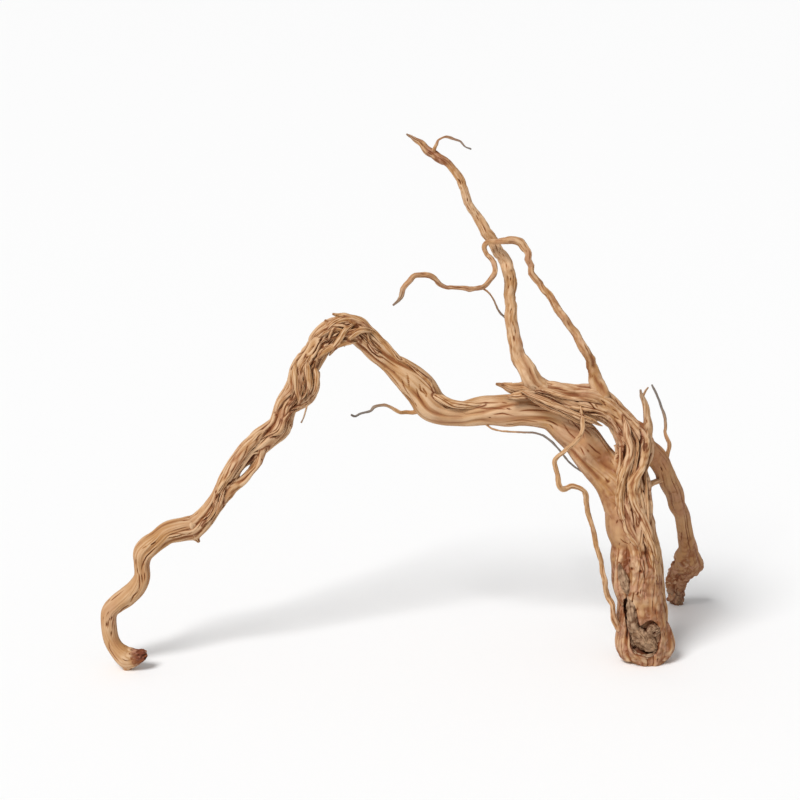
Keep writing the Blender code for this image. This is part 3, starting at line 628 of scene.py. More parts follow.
def tornEnd(rings, along, rng):
    # The arm's own end is broken: over its torn length the rings are pulled out or pushed in by
    # uneven fibres, share * 1.1 mm * ripples.
    tornLength = 9.0
    share = np.clip((tornLength - along) / tornLength, 0.0, 1.0)
    fibres = ripples(rings, rng, 12, 3.0)
    outward = rings[0].mean(0) - rings[6].mean(0)
    outward /= np.linalg.norm(outward)
    moved = rings + (share * 1.1 * fibres)[..., None] * outward
    # Between the fibres pushed deepest, painted shade goes in.
    return moved, {"torn": np.clip(2.2 * share + 0.25 * fibres * (share > 0.0), 0.0, 1.0),
                   "cavityShade": 0.9 * share * (fibres < -0.5)}


arm["shape"] = tornEnd

stump = {
    "step": 0.75, "columns": 330, "strands": 7, "depth": 0.26, "twist": 0.25, "seed": 1,
    "wander": 0.08, "ridges": (6, 18), "grainLength": 34.0, "ridgeHeight": 0.55,
    "fibres": (36, 90), "fibreHeight": 0.08, "unevenness": 0.03,
    "crackShare": 0.35, "crackWidth": 0.42, "crackDepth": 1.4,
    "kinks": 0.0, "marks": 0.5, "knobLength": 5.0,
    "window": (5, 9), "reliefScale": 0.55,
    "rough": [(0, 0.8), (60, 0.75), (90, 0.55), (150, 0.65)],
    "calm": [(38, 58, 44, 68, 0.92), (110, -62, 30, 22, 0.5), (92, -24, 28, 34, 0.85),
             (160, 0, 15, 300, 0.7)],
    "knobs": [(92, 5, 28, 75, 0.35), (64, 15, 14, 60, 0.4), (140, 0, 16, 200, 0.3)],
    "busy": [(80, 34, 20, 26, 0.8), (64, 5, 12, 50, 0.5)],
    "stain": [(0, 0.16), (50, 0.22), (68, 0.46), (110, 0.42), (150, 0.50)],
    "blunt": (0.5, 0.1),
    "carved": [
        (0.35, 0.9, [[(64, 40), (71, 43)], [(88, -12), (95, -9)], [(96, -28), (105, -26)]]),
        (0.4, 1, [[(42, 32), (46, 26), (49, 14)], [(28, -16), (37, -31), (46, -43), (52, -46)],
        [(27, -39), (37, -45), (45, -49)]]), (0.4, 1.1, [[(83, -42), (89, -39), (94, -33)],
        [(51, 25), (61, 32), (69, 28)], [(51, 51), (63, 51), (71, 53)], [(65, -43), (76, -45), (88, -50)]]),
        (0.45, 1.3, [[(64, -5), (72, -11), (79, -16)]]), (0.5, 1.4, [[(34, -7), (45, -20), (55, -41)]]),
        (0.9, 1.8, [[(72, -6)]]), (0.9, 2, [[(70, 16)]]),
        (1.1, 3, [[(10, -48), (19, -11), (27, -9), (40, -18)]]), (1.8, 0.9, [[(58, -7), (60, -34)]]),
    ],
    "route": [
        (151, -35, 141, 12), (159, -36, 130, 14.5), (163, -38, 120, 16.5), (163.5, -39, 108, 17.2),
        (168.5, -40, 93, 17.2), (170, -42, 78, 19), (171, -44, 63, 19), (174, -46, 47, 18),
        (176, -48, 32, 18.8), (176, -49, 18, 20), (178.5, -49.5, 9, 18.5), (180, -50, 3, 15),
        (179.5, -50, -4, 11),
    ],
}

hollow = {
    "outline": [
        (159.2, 53.3), (160.7, 41.2), (162.6, 27.5), (164.0, 17.6), (168.0, 11.6), (177.5, 7.6),
        (186.2, 10.6), (189.2, 16.7), (187.5, 27.5), (186.5, 34.8), (181.9, 39.2), (176.6, 37.6),
        (172.2, 35.2), (170.5, 41.2), (169.6, 46.9), (166.4, 53.3), (162.5, 56.1),
    ],
    "depth": 9.5, "rim": 2.8, "frontOf": -52.0, "strayLength": 12.0, "floorLength": 4.0,
}


def depthInside(x, z, outline):
    # Distance to the nearest edge of the outline for points inside it, and 0 outside. A point
    # is inside if a line from it to the right crosses the edges an odd number of times.
    nearest = np.full(x.shape, 1e3)
    inside = np.zeros(x.shape, bool)
    for (x0, z0), (x1, z1) in zip(outline, outline[1:] + outline[:1]):
        run, rise = x1 - x0, z1 - z0
        t = np.clip(((x - x0) * run + (z - z0) * rise) / (run ** 2 + rise ** 2), 0.0, 1.0)
        nearest = np.minimum(nearest, np.hypot(x - x0 - t * run, z - z0 - t * rise))
        crosses = ((z0 > z) != (z1 > z)) & (x < x0 + (z - z0) * run / (rise + 1e-9))
        inside ^= crosses
    return np.where(inside, nearest, 0.0)


def openHollow(rings, along, rng):
    # Inside the outline the front is pushed back by depth * (3t^2 - 2t^3), where t is the
    # distance from the rim over the rim's width. Ripples make the rim and the floor uneven.
    flat = rings.reshape(-1, 3)
    stray = 0.6 * ripples(flat, rng, 6, hollow["strayLength"])
    t = depthInside(flat[:, 0] + stray, flat[:, 2] + 0.6 * stray, hollow["outline"]) / hollow["rim"]
    t = np.where(flat[:, 1] < hollow["frontOf"], np.clip(t, 0.0, 1.0), 0.0)
    uneven = 1.0 + 0.12 * ripples(flat, rng, 8, hollow["floorLength"])
    pushed = hollow["depth"] * t ** 2 * (3.0 - 2.0 * t) * uneven
    flat = flat + np.stack([0.0 * t, pushed, 0.0 * t], -1)
    shape = rings.shape[:2]
    wall = (4.0 * t * (1.0 - t)).reshape(shape)
    floor = np.clip(3.0 * t - 2.0, 0.0, 1.0).reshape(shape)
    # The hollow's wall and floor are painted darker as shade; the floor also gets the burr's colour and the
    # wall the torn colour.
    return flat.reshape(rings.shape), {"burr": 0.8 * floor, "cavityShade": 0.55 * wall + 0.35 * floor,
                                       "torn": 0.8 * wall}


stump["shape"] = openHollow

shoulder = {
    "step": 1.0, "columns": 230, "strands": 6, "depth": 0.33, "twist": 0.5, "seed": 2,
    "wander": 0.10, "ridges": (6, 15), "grainLength": 30.0, "ridgeHeight": 0.6,
    "fibres": (28, 64), "fibreHeight": 0.07, "unevenness": 0.03,
    "crackShare": 0.2, "crackWidth": 0.42, "crackDepth": 1.4,
    "kinks": 0.0, "marks": 0.9, "knobLength": 6.5,
    "window": (4, 9), "reliefScale": 0.7,
    "rough": [(0, 0.6), (60, 0.9), (140, 1.1), (200, 0.9)],
    "calm": [(178, 70, 34, 55, 0.85), (50, -10, 22, 40, 0.4), (92, -30, 30, 34, 0.8)],
    "knobs": [(105, 0, 26, 200, 0.5)],
    "pale": [(60, 0.0), (75, 0.2), (100, 0.2), (115, 0.0)],
    "stain": [(0, 0.08), (100, 0.18), (118, 0.30), (165, 0.32), (200, 0.2)],
    "blunt": (1.0, 0.5),
    "carved": [
        (0.4, 1, [[(78, -63), (84, -58)]]), (0.4, 1.1, [[(87, -22), (91, -28)], [(83, 4), (87, 7)],
        [(89, -1), (94, -5), (97, -13)], [(94, -44), (100, -41), (104, -51)], [(95, 13), (99, 10)],
        [(103, -75), (110, -59)]]), (0.4, 1.2, [[(84, -52), (86, -49)], [(75, -14), (78, -2)]]),
        (0.45, 1.2, [[(26, 0), (33, 10), (43, 6)], [(36, -34), (46, -44), (54, -48)]]),
        (0.45, 1.3, [[(78, -36), (81, -30), (83, -16)], [(139, -6), (147, 20), (158, 35), (167, 43)]]),
        (0.5, 1.4, [[(68, -22), (73, -7), (78, 12)], [(62, 3), (70, 11), (77, 26)]]),
        (0.5, 1.5, [[(110, 5), (124, 20), (134, 23), (142, 27), (153, 39)]]),
        (0.6, 1.8, [[(114, -40), (121, -21), (129, -19), (138, -11)]]),
        (0.7, 1.4, [[(104, -17), (107, -20)]]), (0.7, 1.6, [[(59, -17), (63, -9)]]),
        (1, 3.2, [[(108, 21), (123, 36), (134, 48), (144, 59), (160, 60)],
        [(111, -48), (119, -14), (126, -12), (136, -7), (145, 10), (158, 19)]]),
    ],
    "route": [
        (63, -33, 215, 0.8), (68, -33, 214, 2), (74, -33, 212, 4), (82, -32, 211, 5.5),
        (93, -32, 211, 6.5), (102, -32, 209, 8), (111, -33, 206, 9.5), (122, -34, 203, 11),
        (134, -35, 201, 12.3), (145, -36, 197, 11), (153.5, -37, 189.5, 9.8), (160, -38, 181.5, 11.4),
        (166, -39, 173, 14), (166, -41, 162, 13), (164, -43, 150, 12), (166, -45, 137, 12.5),
        (169, -47, 124, 11.5), (170, -48, 110, 10), (172, -48, 96, 8),
    ],
}

backLeg = {
    "step": 1.0, "columns": 150, "strands": 5, "depth": 0.26, "twist": 0.6, "seed": 3,
    "wander": 0.10, "ridges": (4, 10), "grainLength": 34.0, "ridgeHeight": 0.45,
    "fibres": (20, 40), "fibreHeight": 0.06, "unevenness": 0.05,
    "crackShare": 0.35, "crackWidth": 0.4, "crackDepth": 1.0,
    "kinks": 0.0, "marks": 0.2, "knobLength": 6.5,
    "window": (4, 8), "reliefScale": 0.45, "kneeFrom": 152.0, "toeFrom": 184.0,
    "rough": [(0, 0.4), (100, 0.25), (150, 0.4), (200, 0.8)],
    "stain": [(0, 0.14), (120, 0.20), (150, 0.42), (200, 0.4)],
    "pale": [(0, 0.3), (130, 0.3), (150, 0.1), (184, 0.0)],
    "carved": [
        (0.35, 0.9, [[(45, 20), (64, 34), (82, 32)], [(106, 30), (121, 44)]]),
        (0.4, 1, [[(28, -29), (43, -29), (58, -16)], [(80, -17), (98, -6), (121, -11), (136, -17)],
        [(140, 24), (152, 5), (156, -22)]]),
        (0.45, 1.2, [[(41, -50), (57, -50), (79, -49), (98, -23), (123, -34)]]),
        (0.5, 1.2, [[(161, 34), (163, -1), (159, -8)], [(183, 52), (181, 10), (182, -28)]]),
        (0.8, 1.6, [[(162, 88)]]),
    ],
    "route": [
        (175, -37, 167, 8), (183, -33, 158, 8), (190, -27, 147, 7), (195, -19, 135, 7),
        (201, -11, 123, 7), (205, -2, 110, 6.5), (211, 9, 96, 6), (215, 21, 80, 6), (218.5, 32, 65, 6.6),
        (220.5, 41, 54, 8.4), (222, 49, 42, 11), (218, 57, 31.5, 8.7), (216, 63, 20, 7.5), (217, 67, 10, 6),
        (217, 70, 3, 5.5), (217, 71, -4, 4.5),
    ],
}


def knobbyFoot(rings, along, rng):
    # From the knee down the rings swell and pinch by 0.75 mm * (|ripples| - 0.6), and by 0.25 mm
    # with finer ripples.
    share = np.clip((along - backLeg["kneeFrom"]) / 14.0, 0.0, 1.0)
    outward = rings - rings.mean(axis=1, keepdims=True)
    outward /= np.linalg.norm(outward, axis=-1, keepdims=True)
    knobs = np.minimum(np.abs(ripples(rings, rng, 14, 9.0)), 1.6)
    fine = np.minimum(np.abs(ripples(rings, rng, 14, 4.0)), 1.6)
    rise = share * (0.75 * (knobs - 0.6) + 0.25 * (fine - 0.6))
    toe = np.clip((along - backLeg["toeFrom"]) / 10.0, 0.0, 1.0)
    # Between the knobs painted shade goes in, and on their tops a painted highlight.
    return rings + rise[..., None] * outward, {
        "shadeHighlightAndPale": share * np.maximum(0.7 - knobs, -0.25),
        "cavityShade": share * 0.6 * np.clip(0.25 - knobs, 0.0, 0.25) / 0.25,
        "torn": 0.45 * share * (1.0 - toe) + 0.0 * knobs, "burr": 0.75 * toe + 0.0 * knobs}


backLeg["shape"] = knobbyFoot

tallBranch = {
    "step": 1.0, "columns": 100, "strands": 4, "depth": 0.14, "twist": 0.8, "seed": 4,
    "wander": 0.12, "ridges": (3, 8), "grainLength": 34.0, "ridgeHeight": 0.22,
    "fibres": (14, 26), "fibreHeight": 0.05, "unevenness": 0.05,
    "crackShare": 0.4, "crackWidth": 0.35, "crackDepth": 0.7,
    "kinks": 0.2, "marks": 0.8, "knobLength": 5.0, "knobs": [(100, 0, 200, 200, 0.35)],
    "window": (3, 7), "reliefScale": 0.7,
    "rough": [(0, 1.0), (50, 0.5), (180, 0.35), (200, 0.8), (250, 0.8)],
    "stain": [(0, 0.0), (185, 0.0), (200, 0.4), (245, 0.5)],
    "greyFrom": 225.0, "pale": [(0, 0.1), (30, 0.5), (185, 0.5), (200, 0.0)],
    "route": [
        (102, -31, 202, 6), (97, -31, 209, 6.5), (92, -31, 216, 7), (87, -30, 223, 7),
        (83, -28, 231, 6.5), (79, -26, 239, 5.5), (76, -23, 248, 5), (74, -20, 259, 4.5),
        (73, -17, 269, 4.2), (73, -11, 287, 4.5), (72, -9, 296, 4.5), (69, -7, 304, 4.4),
        (63.5, -6, 311.5, 4.3), (59, -4, 320, 4.1), (53, -3, 329, 4), (46.5, -2, 337.5, 3.4),
        (41.5, -1, 346.5, 3.2), (38.5, 0, 355.5, 3), (34.5, 1, 364.5, 2.9), (30, 2, 371.5, 2.8),
        (25, 3, 377, 3.2), (18, 4, 380, 3.2), (12, 5, 384, 3.2), (7, 6, 390, 2.5),
        (1, 7, 393, 1.5), (-4, 8, 396, 0.7),
    ],
}

twigLook = {
    "columns": 32, "strands": 0, "twist": 0.9, "seed": 5, "carried": True, "paleShare": 0.25,
    "wander": 0.1, "ridges": (2, 5), "grainLength": 22.0, "ridgeHeight": 0.2,
    "fibres": (5, 9), "fibreHeight": 0.03, "unevenness": 0.13,
    "crackShare": 0.45, "crackWidth": 0.25, "crackDepth": 0.4,
    "kinks": 0.4, "marks": 0.45, "knobLength": 3.5, "knobs": [(100, 0, 300, 200, 0.16)],
    "window": (3, 3), "reliefScale": 0.5,
    "rough": [(0, 1.0), (1, 1.0)], "step": 1.3,
}

twigRoutes = {
    "hookBranch": [
        (141, -35, 200, 5.5), (140, -35, 207, 6), (139, -36, 214, 5.5), (137, -37, 220, 5),
        (134, -38, 227.5, 3.7), (130, -39, 235.5, 3.2), (127, -39, 243, 3.4), (122, -38, 249, 3.2),
        (118, -37, 255, 3.1), (113, -36, 263, 3), (109, -34, 269, 2.8), (105, -32, 276, 2.6),
        (101, -30, 283, 2.5), (96, -28, 288, 2.3), (92, -26, 294, 2.3), (89, -24, 300, 2.4),
        (87, -23, 307, 2.6), (86, -22, 312, 2.7), (82, -21, 315.5, 3), (78, -20, 319, 3),
        (73, -19, 321, 2.6), (67, -18, 320.5, 2.2), (61, -17, 319.5, 2), (57, -16, 319, 1.9),
        (54.5, -16, 316, 1.9), (55.5, -17, 312, 1.9), (58.5, -18, 307.5, 2), (60.5, -20, 303, 2),
        (61, -22, 298, 1.9), (58.5, -24, 293.5, 1.8), (55, -27, 290, 1.7), (50.5, -29, 288, 1.6),
        (46, -31, 288, 1.7), (42, -33, 288.5, 1.9), (37, -35, 289, 1.7), (31, -37, 289, 1.6),
        (25.5, -39, 290, 1.7), (20.5, -41, 294, 1.7), (16.5, -43, 298, 1.8), (12, -45, 301.3, 2),
        (6.5, -47, 302.7, 1.9), (1, -49, 302.5, 1.9), (-3, -51, 298.5, 1.9), (-6, -53, 293, 1.9),
        (-8, -54, 288, 1.8), (-10.5, -55, 284, 1.2), (-14, -56, 281, 0.7),
    ],
    "crownTwig": [
        (15.5, 4, 382, 1.4), (16.5, 3, 386, 1.3), (18, 2, 389, 1.3), (19, 1, 392, 1),
        (21.5, 0, 394, 0.8), (25.5, -2, 395.5, 0.8), (31.5, -5, 394, 0.7), (35.5, -7, 393, 0.7),
        (39, -9, 389.5, 0.7), (43, -11, 388, 0.7),
    ],
    "linkHair": [
        (50, -28, 288, 0.9), (56, -27, 284, 0.8), (60, -24, 278, 0.7), (63, -21, 271.5, 0.7),
        (66, -19, 266.5, 0.7), (72, -18, 260, 0.8),
    ],
    "armTwig": [
        (9, -12, 190, 1.6), (4.5, -13, 188.5, 1.5), (0, -15, 188, 1.4), (-5, -17, 188.5, 1.4),
        (-10, -19, 190, 1.3), (-15.5, -21, 193, 1.3), (-20, -23, 195, 1.2), (-24.5, -25, 195.5, 1.1),
        (-28.5, -27, 195, 1.1), (-31, -28, 192.5, 1), (-35, -29, 191.5, 0.9), (-39, -30, 190.5, 0.8),
        (-42.5, -31, 189, 0.8), (-45.5, -32, 190.5, 0.7),
    ],
    "archHair": [
        (54.5, -21, 181.5, 0.9), (60, -22, 177.5, 0.8), (66.5, -23, 175.5, 0.7), (74, -24, 175, 0.7),
        (81.5, -25, 175, 0.7), (91.5, -26, 174.5, 0.7), (99.5, -27, 173, 0.8), (104, -29, 170, 0.8),
        (108.5, -31, 165.5, 0.8), (113.5, -33, 160.5, 0.8), (118, -34, 155.5, 0.8),
        (123.5, -35, 150.5, 0.7), (129, -35, 147, 0.7), (137, -34, 142, 0.9),
    ],
    "knotHair": [
        (-78, -26, 206, 1), (-78.5, -29, 199, 0.8), (-79.5, -31, 194.5, 0.7), (-81, -33, 189.5, 0.6),
        (-83, -35, 185.5, 0.6),
    ],
    "loopTwig": [
        (125, -35, 204, 1.6), (125.5, -44, 199.5, 1.4), (126, -50, 195, 1.4), (126, -54, 190.5, 1.5),
        (125.5, -57, 186, 1.5), (122.5, -60, 181, 1.5), (118.5, -62, 176, 1.5), (113.5, -64, 173, 1.5),
        (109, -66, 169.5, 1.6), (106, -67, 165.5, 1.8), (106, -68, 160.5, 1.8), (107, -69, 154.5, 1.7),
        (107.5, -69, 148.5, 1.8), (110.5, -68, 144.5, 1.9), (114.5, -67, 144.5, 1.8),
        (118, -66, 146, 1.7), (123, -65, 145, 1.7), (127.5, -64, 142.5, 1.8), (130, -63, 137.5, 1.9),
        (130.5, -62, 130.5, 1.8), (131.5, -61, 122.5, 1.8), (134, -60, 115, 1.8),
        (136.5, -59, 106.5, 1.8), (139, -58, 96.5, 1.8), (141, -57, 86, 1.8), (144, -56, 73.5, 1.9),
        (147, -55, 61, 1.9), (150.5, -54, 49.5, 2), (153.5, -53, 38.5, 2.2), (158, -51, 26.5, 2.8),
    ],
    "spike": [
        (175, -38, 172, 4), (174.5, -39, 179, 3.7), (175, -40, 185.5, 3.4), (174.5, -41, 193.5, 2.8),
        (173, -42, 201.5, 2.2), (171, -43, 208, 1.5), (169.5, -44, 213.5, 0.7),
    ],
    "spikeHair": [
        (171, -42.5, 206, 1), (173, -44, 212, 0.7), (175, -45, 215.5, 0.6),
    ],
    "backTwig": [
        (192, -26, 142, 1.7), (192.5, -25, 146, 1.5), (193.5, -22, 151.5, 1.4), (195, -18, 158, 1.4),
        (195, -15, 162.5, 1.4), (193.5, -11, 169.5, 1.2), (194, -8, 174, 1.1), (193, -5, 181, 1.1),
        (190.5, -2, 187.5, 1), (188, 0, 193.5, 1), (186, 2, 199, 0.9), (183.5, 4, 204, 0.6),
    ],
    "strut": [
        (169, -51, 131, 1.8), (173, -50, 135, 1.7), (177, -46, 137.5, 1.7), (182.5, -37, 138.5, 2),
        (188.5, -26, 139, 2.3), (192.5, -19, 139.5, 2.5),
    ],
}

strandLook = {
    "columns": 56, "strands": 0, "twist": 0.8, "seed": 6, "carried": True,
    "wander": 0.12, "ridges": (2, 6), "grainLength": 24.0, "ridgeHeight": 0.30,
    "fibres": (9, 20), "fibreHeight": 0.05, "unevenness": 0.07,
    "crackShare": 0.35, "crackWidth": 0.3, "crackDepth": 0.6,
    "kinks": 0.15, "marks": 0.1, "knobLength": 5.0, "knobs": [(20, 0, 100, 200, 0.2)],
    "window": (3, 6), "reliefScale": 0.3,
    "rough": [(0, 1.0), (1, 1.0)], "step": 1.0,
}

strandRoutes = {
    "sideStrand": [
        (-107, -30, 172, 3), (-112, -34, 163.8, 3.4), (-115.6, -35, 155.5, 3.2),
        (-120, -36, 148, 2.9), (-126.6, -37, 141.1, 3.1), (-135.5, -39, 135, 3.5), (-141.5, -40, 127, 3.8),
        (-148, -39, 119, 2.8),
    ],
    "armWrap": [
        (-108, -30, 179.5, 2.3), (-115.5, -35, 174.5, 3.2), (-123.5, -38, 167.5, 3.6),
        (-130.5, -40, 158.5, 3.6), (-136.5, -41, 148.5, 3.3), (-143, -42, 138, 2.9),
        (-149, -41, 127, 2.2),
    ],
    "armRidge": [
        (12, -19, 204, 2), (20.5, -22, 200.5, 2.7), (30, -23, 196.5, 2.9), (42.5, -23, 196, 2.6),
        (54.5, -23, 196.5, 2),
    ],
    "knotFoldLeft": [
        (-86.5, -26, 231, 1.8), (-87.5, -31, 222.5, 2.4), (-86, -32, 212.5, 2.5), (-84, -31, 203, 2.2),
        (-86.5, -27, 193, 1.6),
    ],
    "knotFoldMiddle": [
        (-79, -26, 233, 1.8), (-77.5, -31, 224, 2.4), (-77, -32, 214, 2.4), (-78.5, -29, 202.5, 1.8),
    ],
    "knotFoldRight": [
        (-74, -24, 229, 1.6), (-71.5, -29, 220.5, 2.2), (-72.5, -30, 210.5, 2.2),
        (-76.5, -27, 200, 1.6),
    ],
    "apexTop": [
        (-68.5, -21, 249, 1.9), (-59, -22, 258, 2.6), (-47.5, -20, 262, 2.9), (-37.5, -18, 259.5, 2.6),
        (-28.5, -16, 249.5, 2.4), (-20, -15, 240.5, 2.3), (-11.5, -15, 231.5, 2.1), (-3.5, -14, 223.5, 1.7),
    ],
    "apexCrossLow": [
        (-62, -22, 234, 1.8), (-56, -25, 244.5, 2.2), (-50.5, -25, 253, 2.2), (-43, -21, 259, 1.8),
    ],
    "apexCrossHigh": [
        (-51, -20, 240.5, 1.8), (-45, -23, 249, 2.2), (-37.5, -23, 254, 2.2), (-28, -19, 252, 1.8),
    ],
    "apexUnder": [
        (-76, -22, 226, 1.6), (-69, -25, 235, 2.2), (-60, -25, 241, 2.5), (-49.5, -23, 244.5, 2.3),
        (-39, -20, 245, 1.8),
    ],
    "creviceUpper": [
        (80, -40, 212, 1.6), (91, -44, 208, 1.8), (103.5, -47, 203.5, 2), (117, -49, 198, 2),
        (130.5, -50, 192, 1.9), (142, -46, 186, 1.6),
    ],
    "creviceLower": [
        (84, -38, 208, 1.5), (98.5, -43, 200.5, 1.7), (111.5, -45, 195.5, 1.8), (123, -46, 190, 1.7),
        (136, -43, 184, 1.5),
    ],
    "frontStrand": [
        (157.5, -47, 194, 2.2), (160, -52, 183, 2.8), (162, -54, 169.5, 3.3), (159, -56, 157, 3.4),
        (155.5, -55, 143.5, 3.4), (155.5, -54, 131, 3.1), (158, -54, 118, 2.6), (162.5, -53, 106, 2),
    ],
    "wavyStrand": [
        (175, -46, 182.5, 2.5), (174, -51, 170, 3.1), (170.5, -54, 157, 3.4), (165.5, -57, 145, 3.6),
        (165.5, -57, 132, 3.4), (171, -57, 120, 3.3), (176, -57, 108, 3.1), (181, -56, 94.5, 2.9),
        (186, -52, 80, 2.4),
    ],
    "edgeStrand": [
        (174.5, -41, 156, 2.2), (175.5, -43, 142.5, 2.8), (177, -45, 128.5, 3.1), (178.5, -47, 115, 3.2),
        (182, -47, 99, 3.2), (185.5, -46.5, 83, 3), (188, -47, 65, 2.5), (189, -49, 50, 1.6),
    ],
}

stubRoutes = {
    "apexSplinterLong": [
        (-40, -17, 258, 3.4), (-45, -19, 260, 3.4), (-50.5, -20, 263.5, 2.5), (-55, -21, 264.5, 1.6),
        (-59, -22, 266, 0.7),
    ],
    "apexSplinterShort": [
        (-54, -17, 249, 4.2), (-58, -19, 253.5, 3.6), (-61.5, -20, 257.5, 2.2), (-65, -21, 261, 0.7),
    ],
    "armSpur": [
        (-167, -45, 108, 6.5), (-164, -46, 100, 3.5), (-161, -47, 95, 0.8),
    ],
    "shoulderSplinter": [
        (90, -35, 208, 3.6), (83.5, -37, 208, 3.2), (77, -37, 207, 2.2), (71.5, -37, 206, 0.8),
    ],
    "heel": [
        (-218, -67, 13, 5.5), (-216.5, -67, 5, 4.2), (-215.5, -67, -3, 2.6),
    ],
    "knee": [
        (218, 42, 51, 7.5), (226, 47, 43, 5.5), (233, 49, 40, 2),
    ],
    "toeSpur": [
        (217, 64, 16, 5), (212, 67, 6, 3.2), (209, 67, 4.5, 1.2),
    ],
    "sideToe": [
        (217, 58, 28, 6), (212, 58.5, 25, 4), (207, 58, 22, 1.6),
    ],
    "baseLip": [
        (180, -50, 34, 9), (185, -51, 26, 9), (190, -51, 17, 8.5), (190, -51, 9, 7.5), (187, -51, 2, 5),
    ],
}

limbs = {"arm": arm, "stump": stump, "shoulder": shoulder, "backLeg": backLeg,
         "tallBranch": tallBranch}

# Strands laid over a limb: from and to along it, from and to angle, and their radius.
overStrands = {
    "knot": ("arm", [
        (315, 282, -38, 10, 1.0), (317, 284, -26, 14, 0.8), (317, 283, -12, 18, 1.0), (316, 284, 0, 24, 0.8),
        (314, 285, 12, 32, 1.0), (312, 284, 22, 38, 0.8), (311, 287, 36, 46, 0.9), (308, 279, -58, -12, 1.1),
        (325, 300, -45, -22, 1.2), (326, 303, 12, 40, 1.1), (300, 272, 52, 28, 1.1),
        (296, 266, -30, -42, 1.1),
        (306, 276, 4, 8, 0.8), (304, 274, -22, -2, 0.8),
    ]),
    "apex": ("arm", [
        (327, 353, -62, -12, 1.4), (329, 357, -38, 18, 1.3), (326, 350, -8, 34, 1.4),
        (335, 362, 44, -18, 1.3),
        (340, 368, -78, -34, 1.5), (345, 374, 20, -38, 1.2), (350, 380, -52, -8, 1.5), (337, 364, 58, 8, 1.2),
        (333, 352, 8, -48, 1.2), (356, 384, 4, -30, 1.2), (322, 345, 70, 46, 1.4), (324, 348, 120, 165, 1.6),
        (330, 362, 175, 140, 1.6), (338, 366, 210, 170, 1.5),
    ]),
    "bend": ("arm", [
        (246, 270, -5, 25, 1.3), (250, 276, 15, 38, 1.3), (236, 262, -20, -2, 1.3), (160, 186, 16, -10, 1.3),
        (168, 194, 30, 8, 1.3), (176, 200, -20, -40, 1.2), (398, 424, -44, -60, 1.4),
        (402, 432, -62, -44, 1.3),
    ]),
    "shoulderTop": ("shoulder", [
        (34, 80, -12, -20, 1.4), (52, 104, 18, 10, 1.3), (70, 126, 30, 16, 1.4),
        (106, 150, -18, 4, 1.3), (112, 168, 4, 26, 1.5), (120, 176, -34, -8, 1.4),
        (126, 186, -60, -40, 1.5), (104, 150, 44, 52, 1.3), (40, 90, 150, 170, 1.6), (80, 150, 190, 150, 1.7),
    ]),
    "trunk": ("stump", [
        (14, 70, -8, -34, 1.6), (20, 62, 8, -14, 1.4), (30, 84, -30, -52, 1.5), (8, 54, 20, 2, 1.5),
        (10, 100, 150, 175, 1.9), (30, 130, 200, 170, 1.8), (0, 90, -120, -95, 1.7),
        (60, 140, -90, -112, 1.6),
    ]),
}


def overRoute(limb, strand, shift):
    # It sits on the limb's own radius. Its angle goes from the first to the last in a straight
    # line plus 5 degrees * sin(2 pi t + shift).
    start, end, angleFrom, angleTo, thick = strand
    centre, radius, s = curveThrough(limb["route"], 2.0)
    front, side = framesAlong(centre, False)[1:]
    t = np.linspace(0.0, 1.0, 9)
    angle = np.radians(angleFrom + (angleTo - angleFrom) * t + 5.0 * np.sin(fullTurn * t + shift))
    at = start + (end - start) * t
    places, fronts, sides = [np.column_stack([np.interp(at, s, field[:, k]) for k in range(3)])
                             for field in (centre, front, side)]
    out = np.cos(angle)[:, None] * fronts + np.sin(angle)[:, None] * sides
    places = places + (np.interp(at, s, radius) + 0.25 * thick)[:, None] * out
    return np.column_stack([places, thick * (0.8 + 0.3 * np.sin(math.pi * t + shift))])


fineRoutes = {}
for group, (limbName, strands) in overStrands.items():
    for index, strand in enumerate(strands):
        fineRoutes[group + str(index)] = overRoute(limbs[limbName], strand, 1.7 * index)

burrRoutes = {
    "channelBurr": [
        (163.2, -59.5, 57, 1.6), (164.2, -61.5, 50, 2.5), (165.4, -62.2, 43, 2.9), (166.6, -62, 36, 3.2),
        (168, -61.5, 29, 3.0), (169, -60, 22, 2.2),
    ],
    "tongueBurr": [
        (155.8, -56.5, 81, 1.4), (157.6, -58.4, 75, 2.3), (159.8, -60, 68.5, 3.1), (161.6, -60.6, 62, 2.8),
        (163, -60.4, 56.5, 1.8),
    ],
    "rimBurr": [
        (166.5, -60.5, 14, 0.8), (170.5, -63, 10.6, 1.2), (175, -64.2, 9.2, 1.4), (181, -64.2, 10, 1.2),
        (186, -62.6, 13.5, 0.9),
    ],
}

strandNames = {**strandRoutes, **fineRoutes, **burrRoutes}
skeleton = {}
for name, limb in limbs.items():
    skeleton[name] = curveThrough(limb["route"], 4.0)[:2]
for name, route in {**twigRoutes, **stubRoutes, **strandNames}.items():
    skeleton[name] = curveThrough(route, 4.0)[:2]

for index, (name, limb) in enumerate(limbs.items()):
    tube = makeLimb(name, limb, np.random.default_rng(10 + index))
    addPiece(name, [tube], driftwoodFinish)


# Where twigs turn grey, in millimetres along them, and how much some are stained.
greyStarts = {"armTwig": 24.0, "knotHair": 8.0, "archHair": 18.0, "spikeHair": 2.0, "backTwig": 30.0,
              "crownTwig": 14.0, "linkHair": 10.0, "spike": 28.0, "hookBranch": 272.0}
stainShares = {"hookBranch": 0.16, "crownTwig": 0.2, "knee": 0.5, "sideToe": 0.5, "toeSpur": 0.5,
               "heel": 0.1, "baseLip": 0.45}


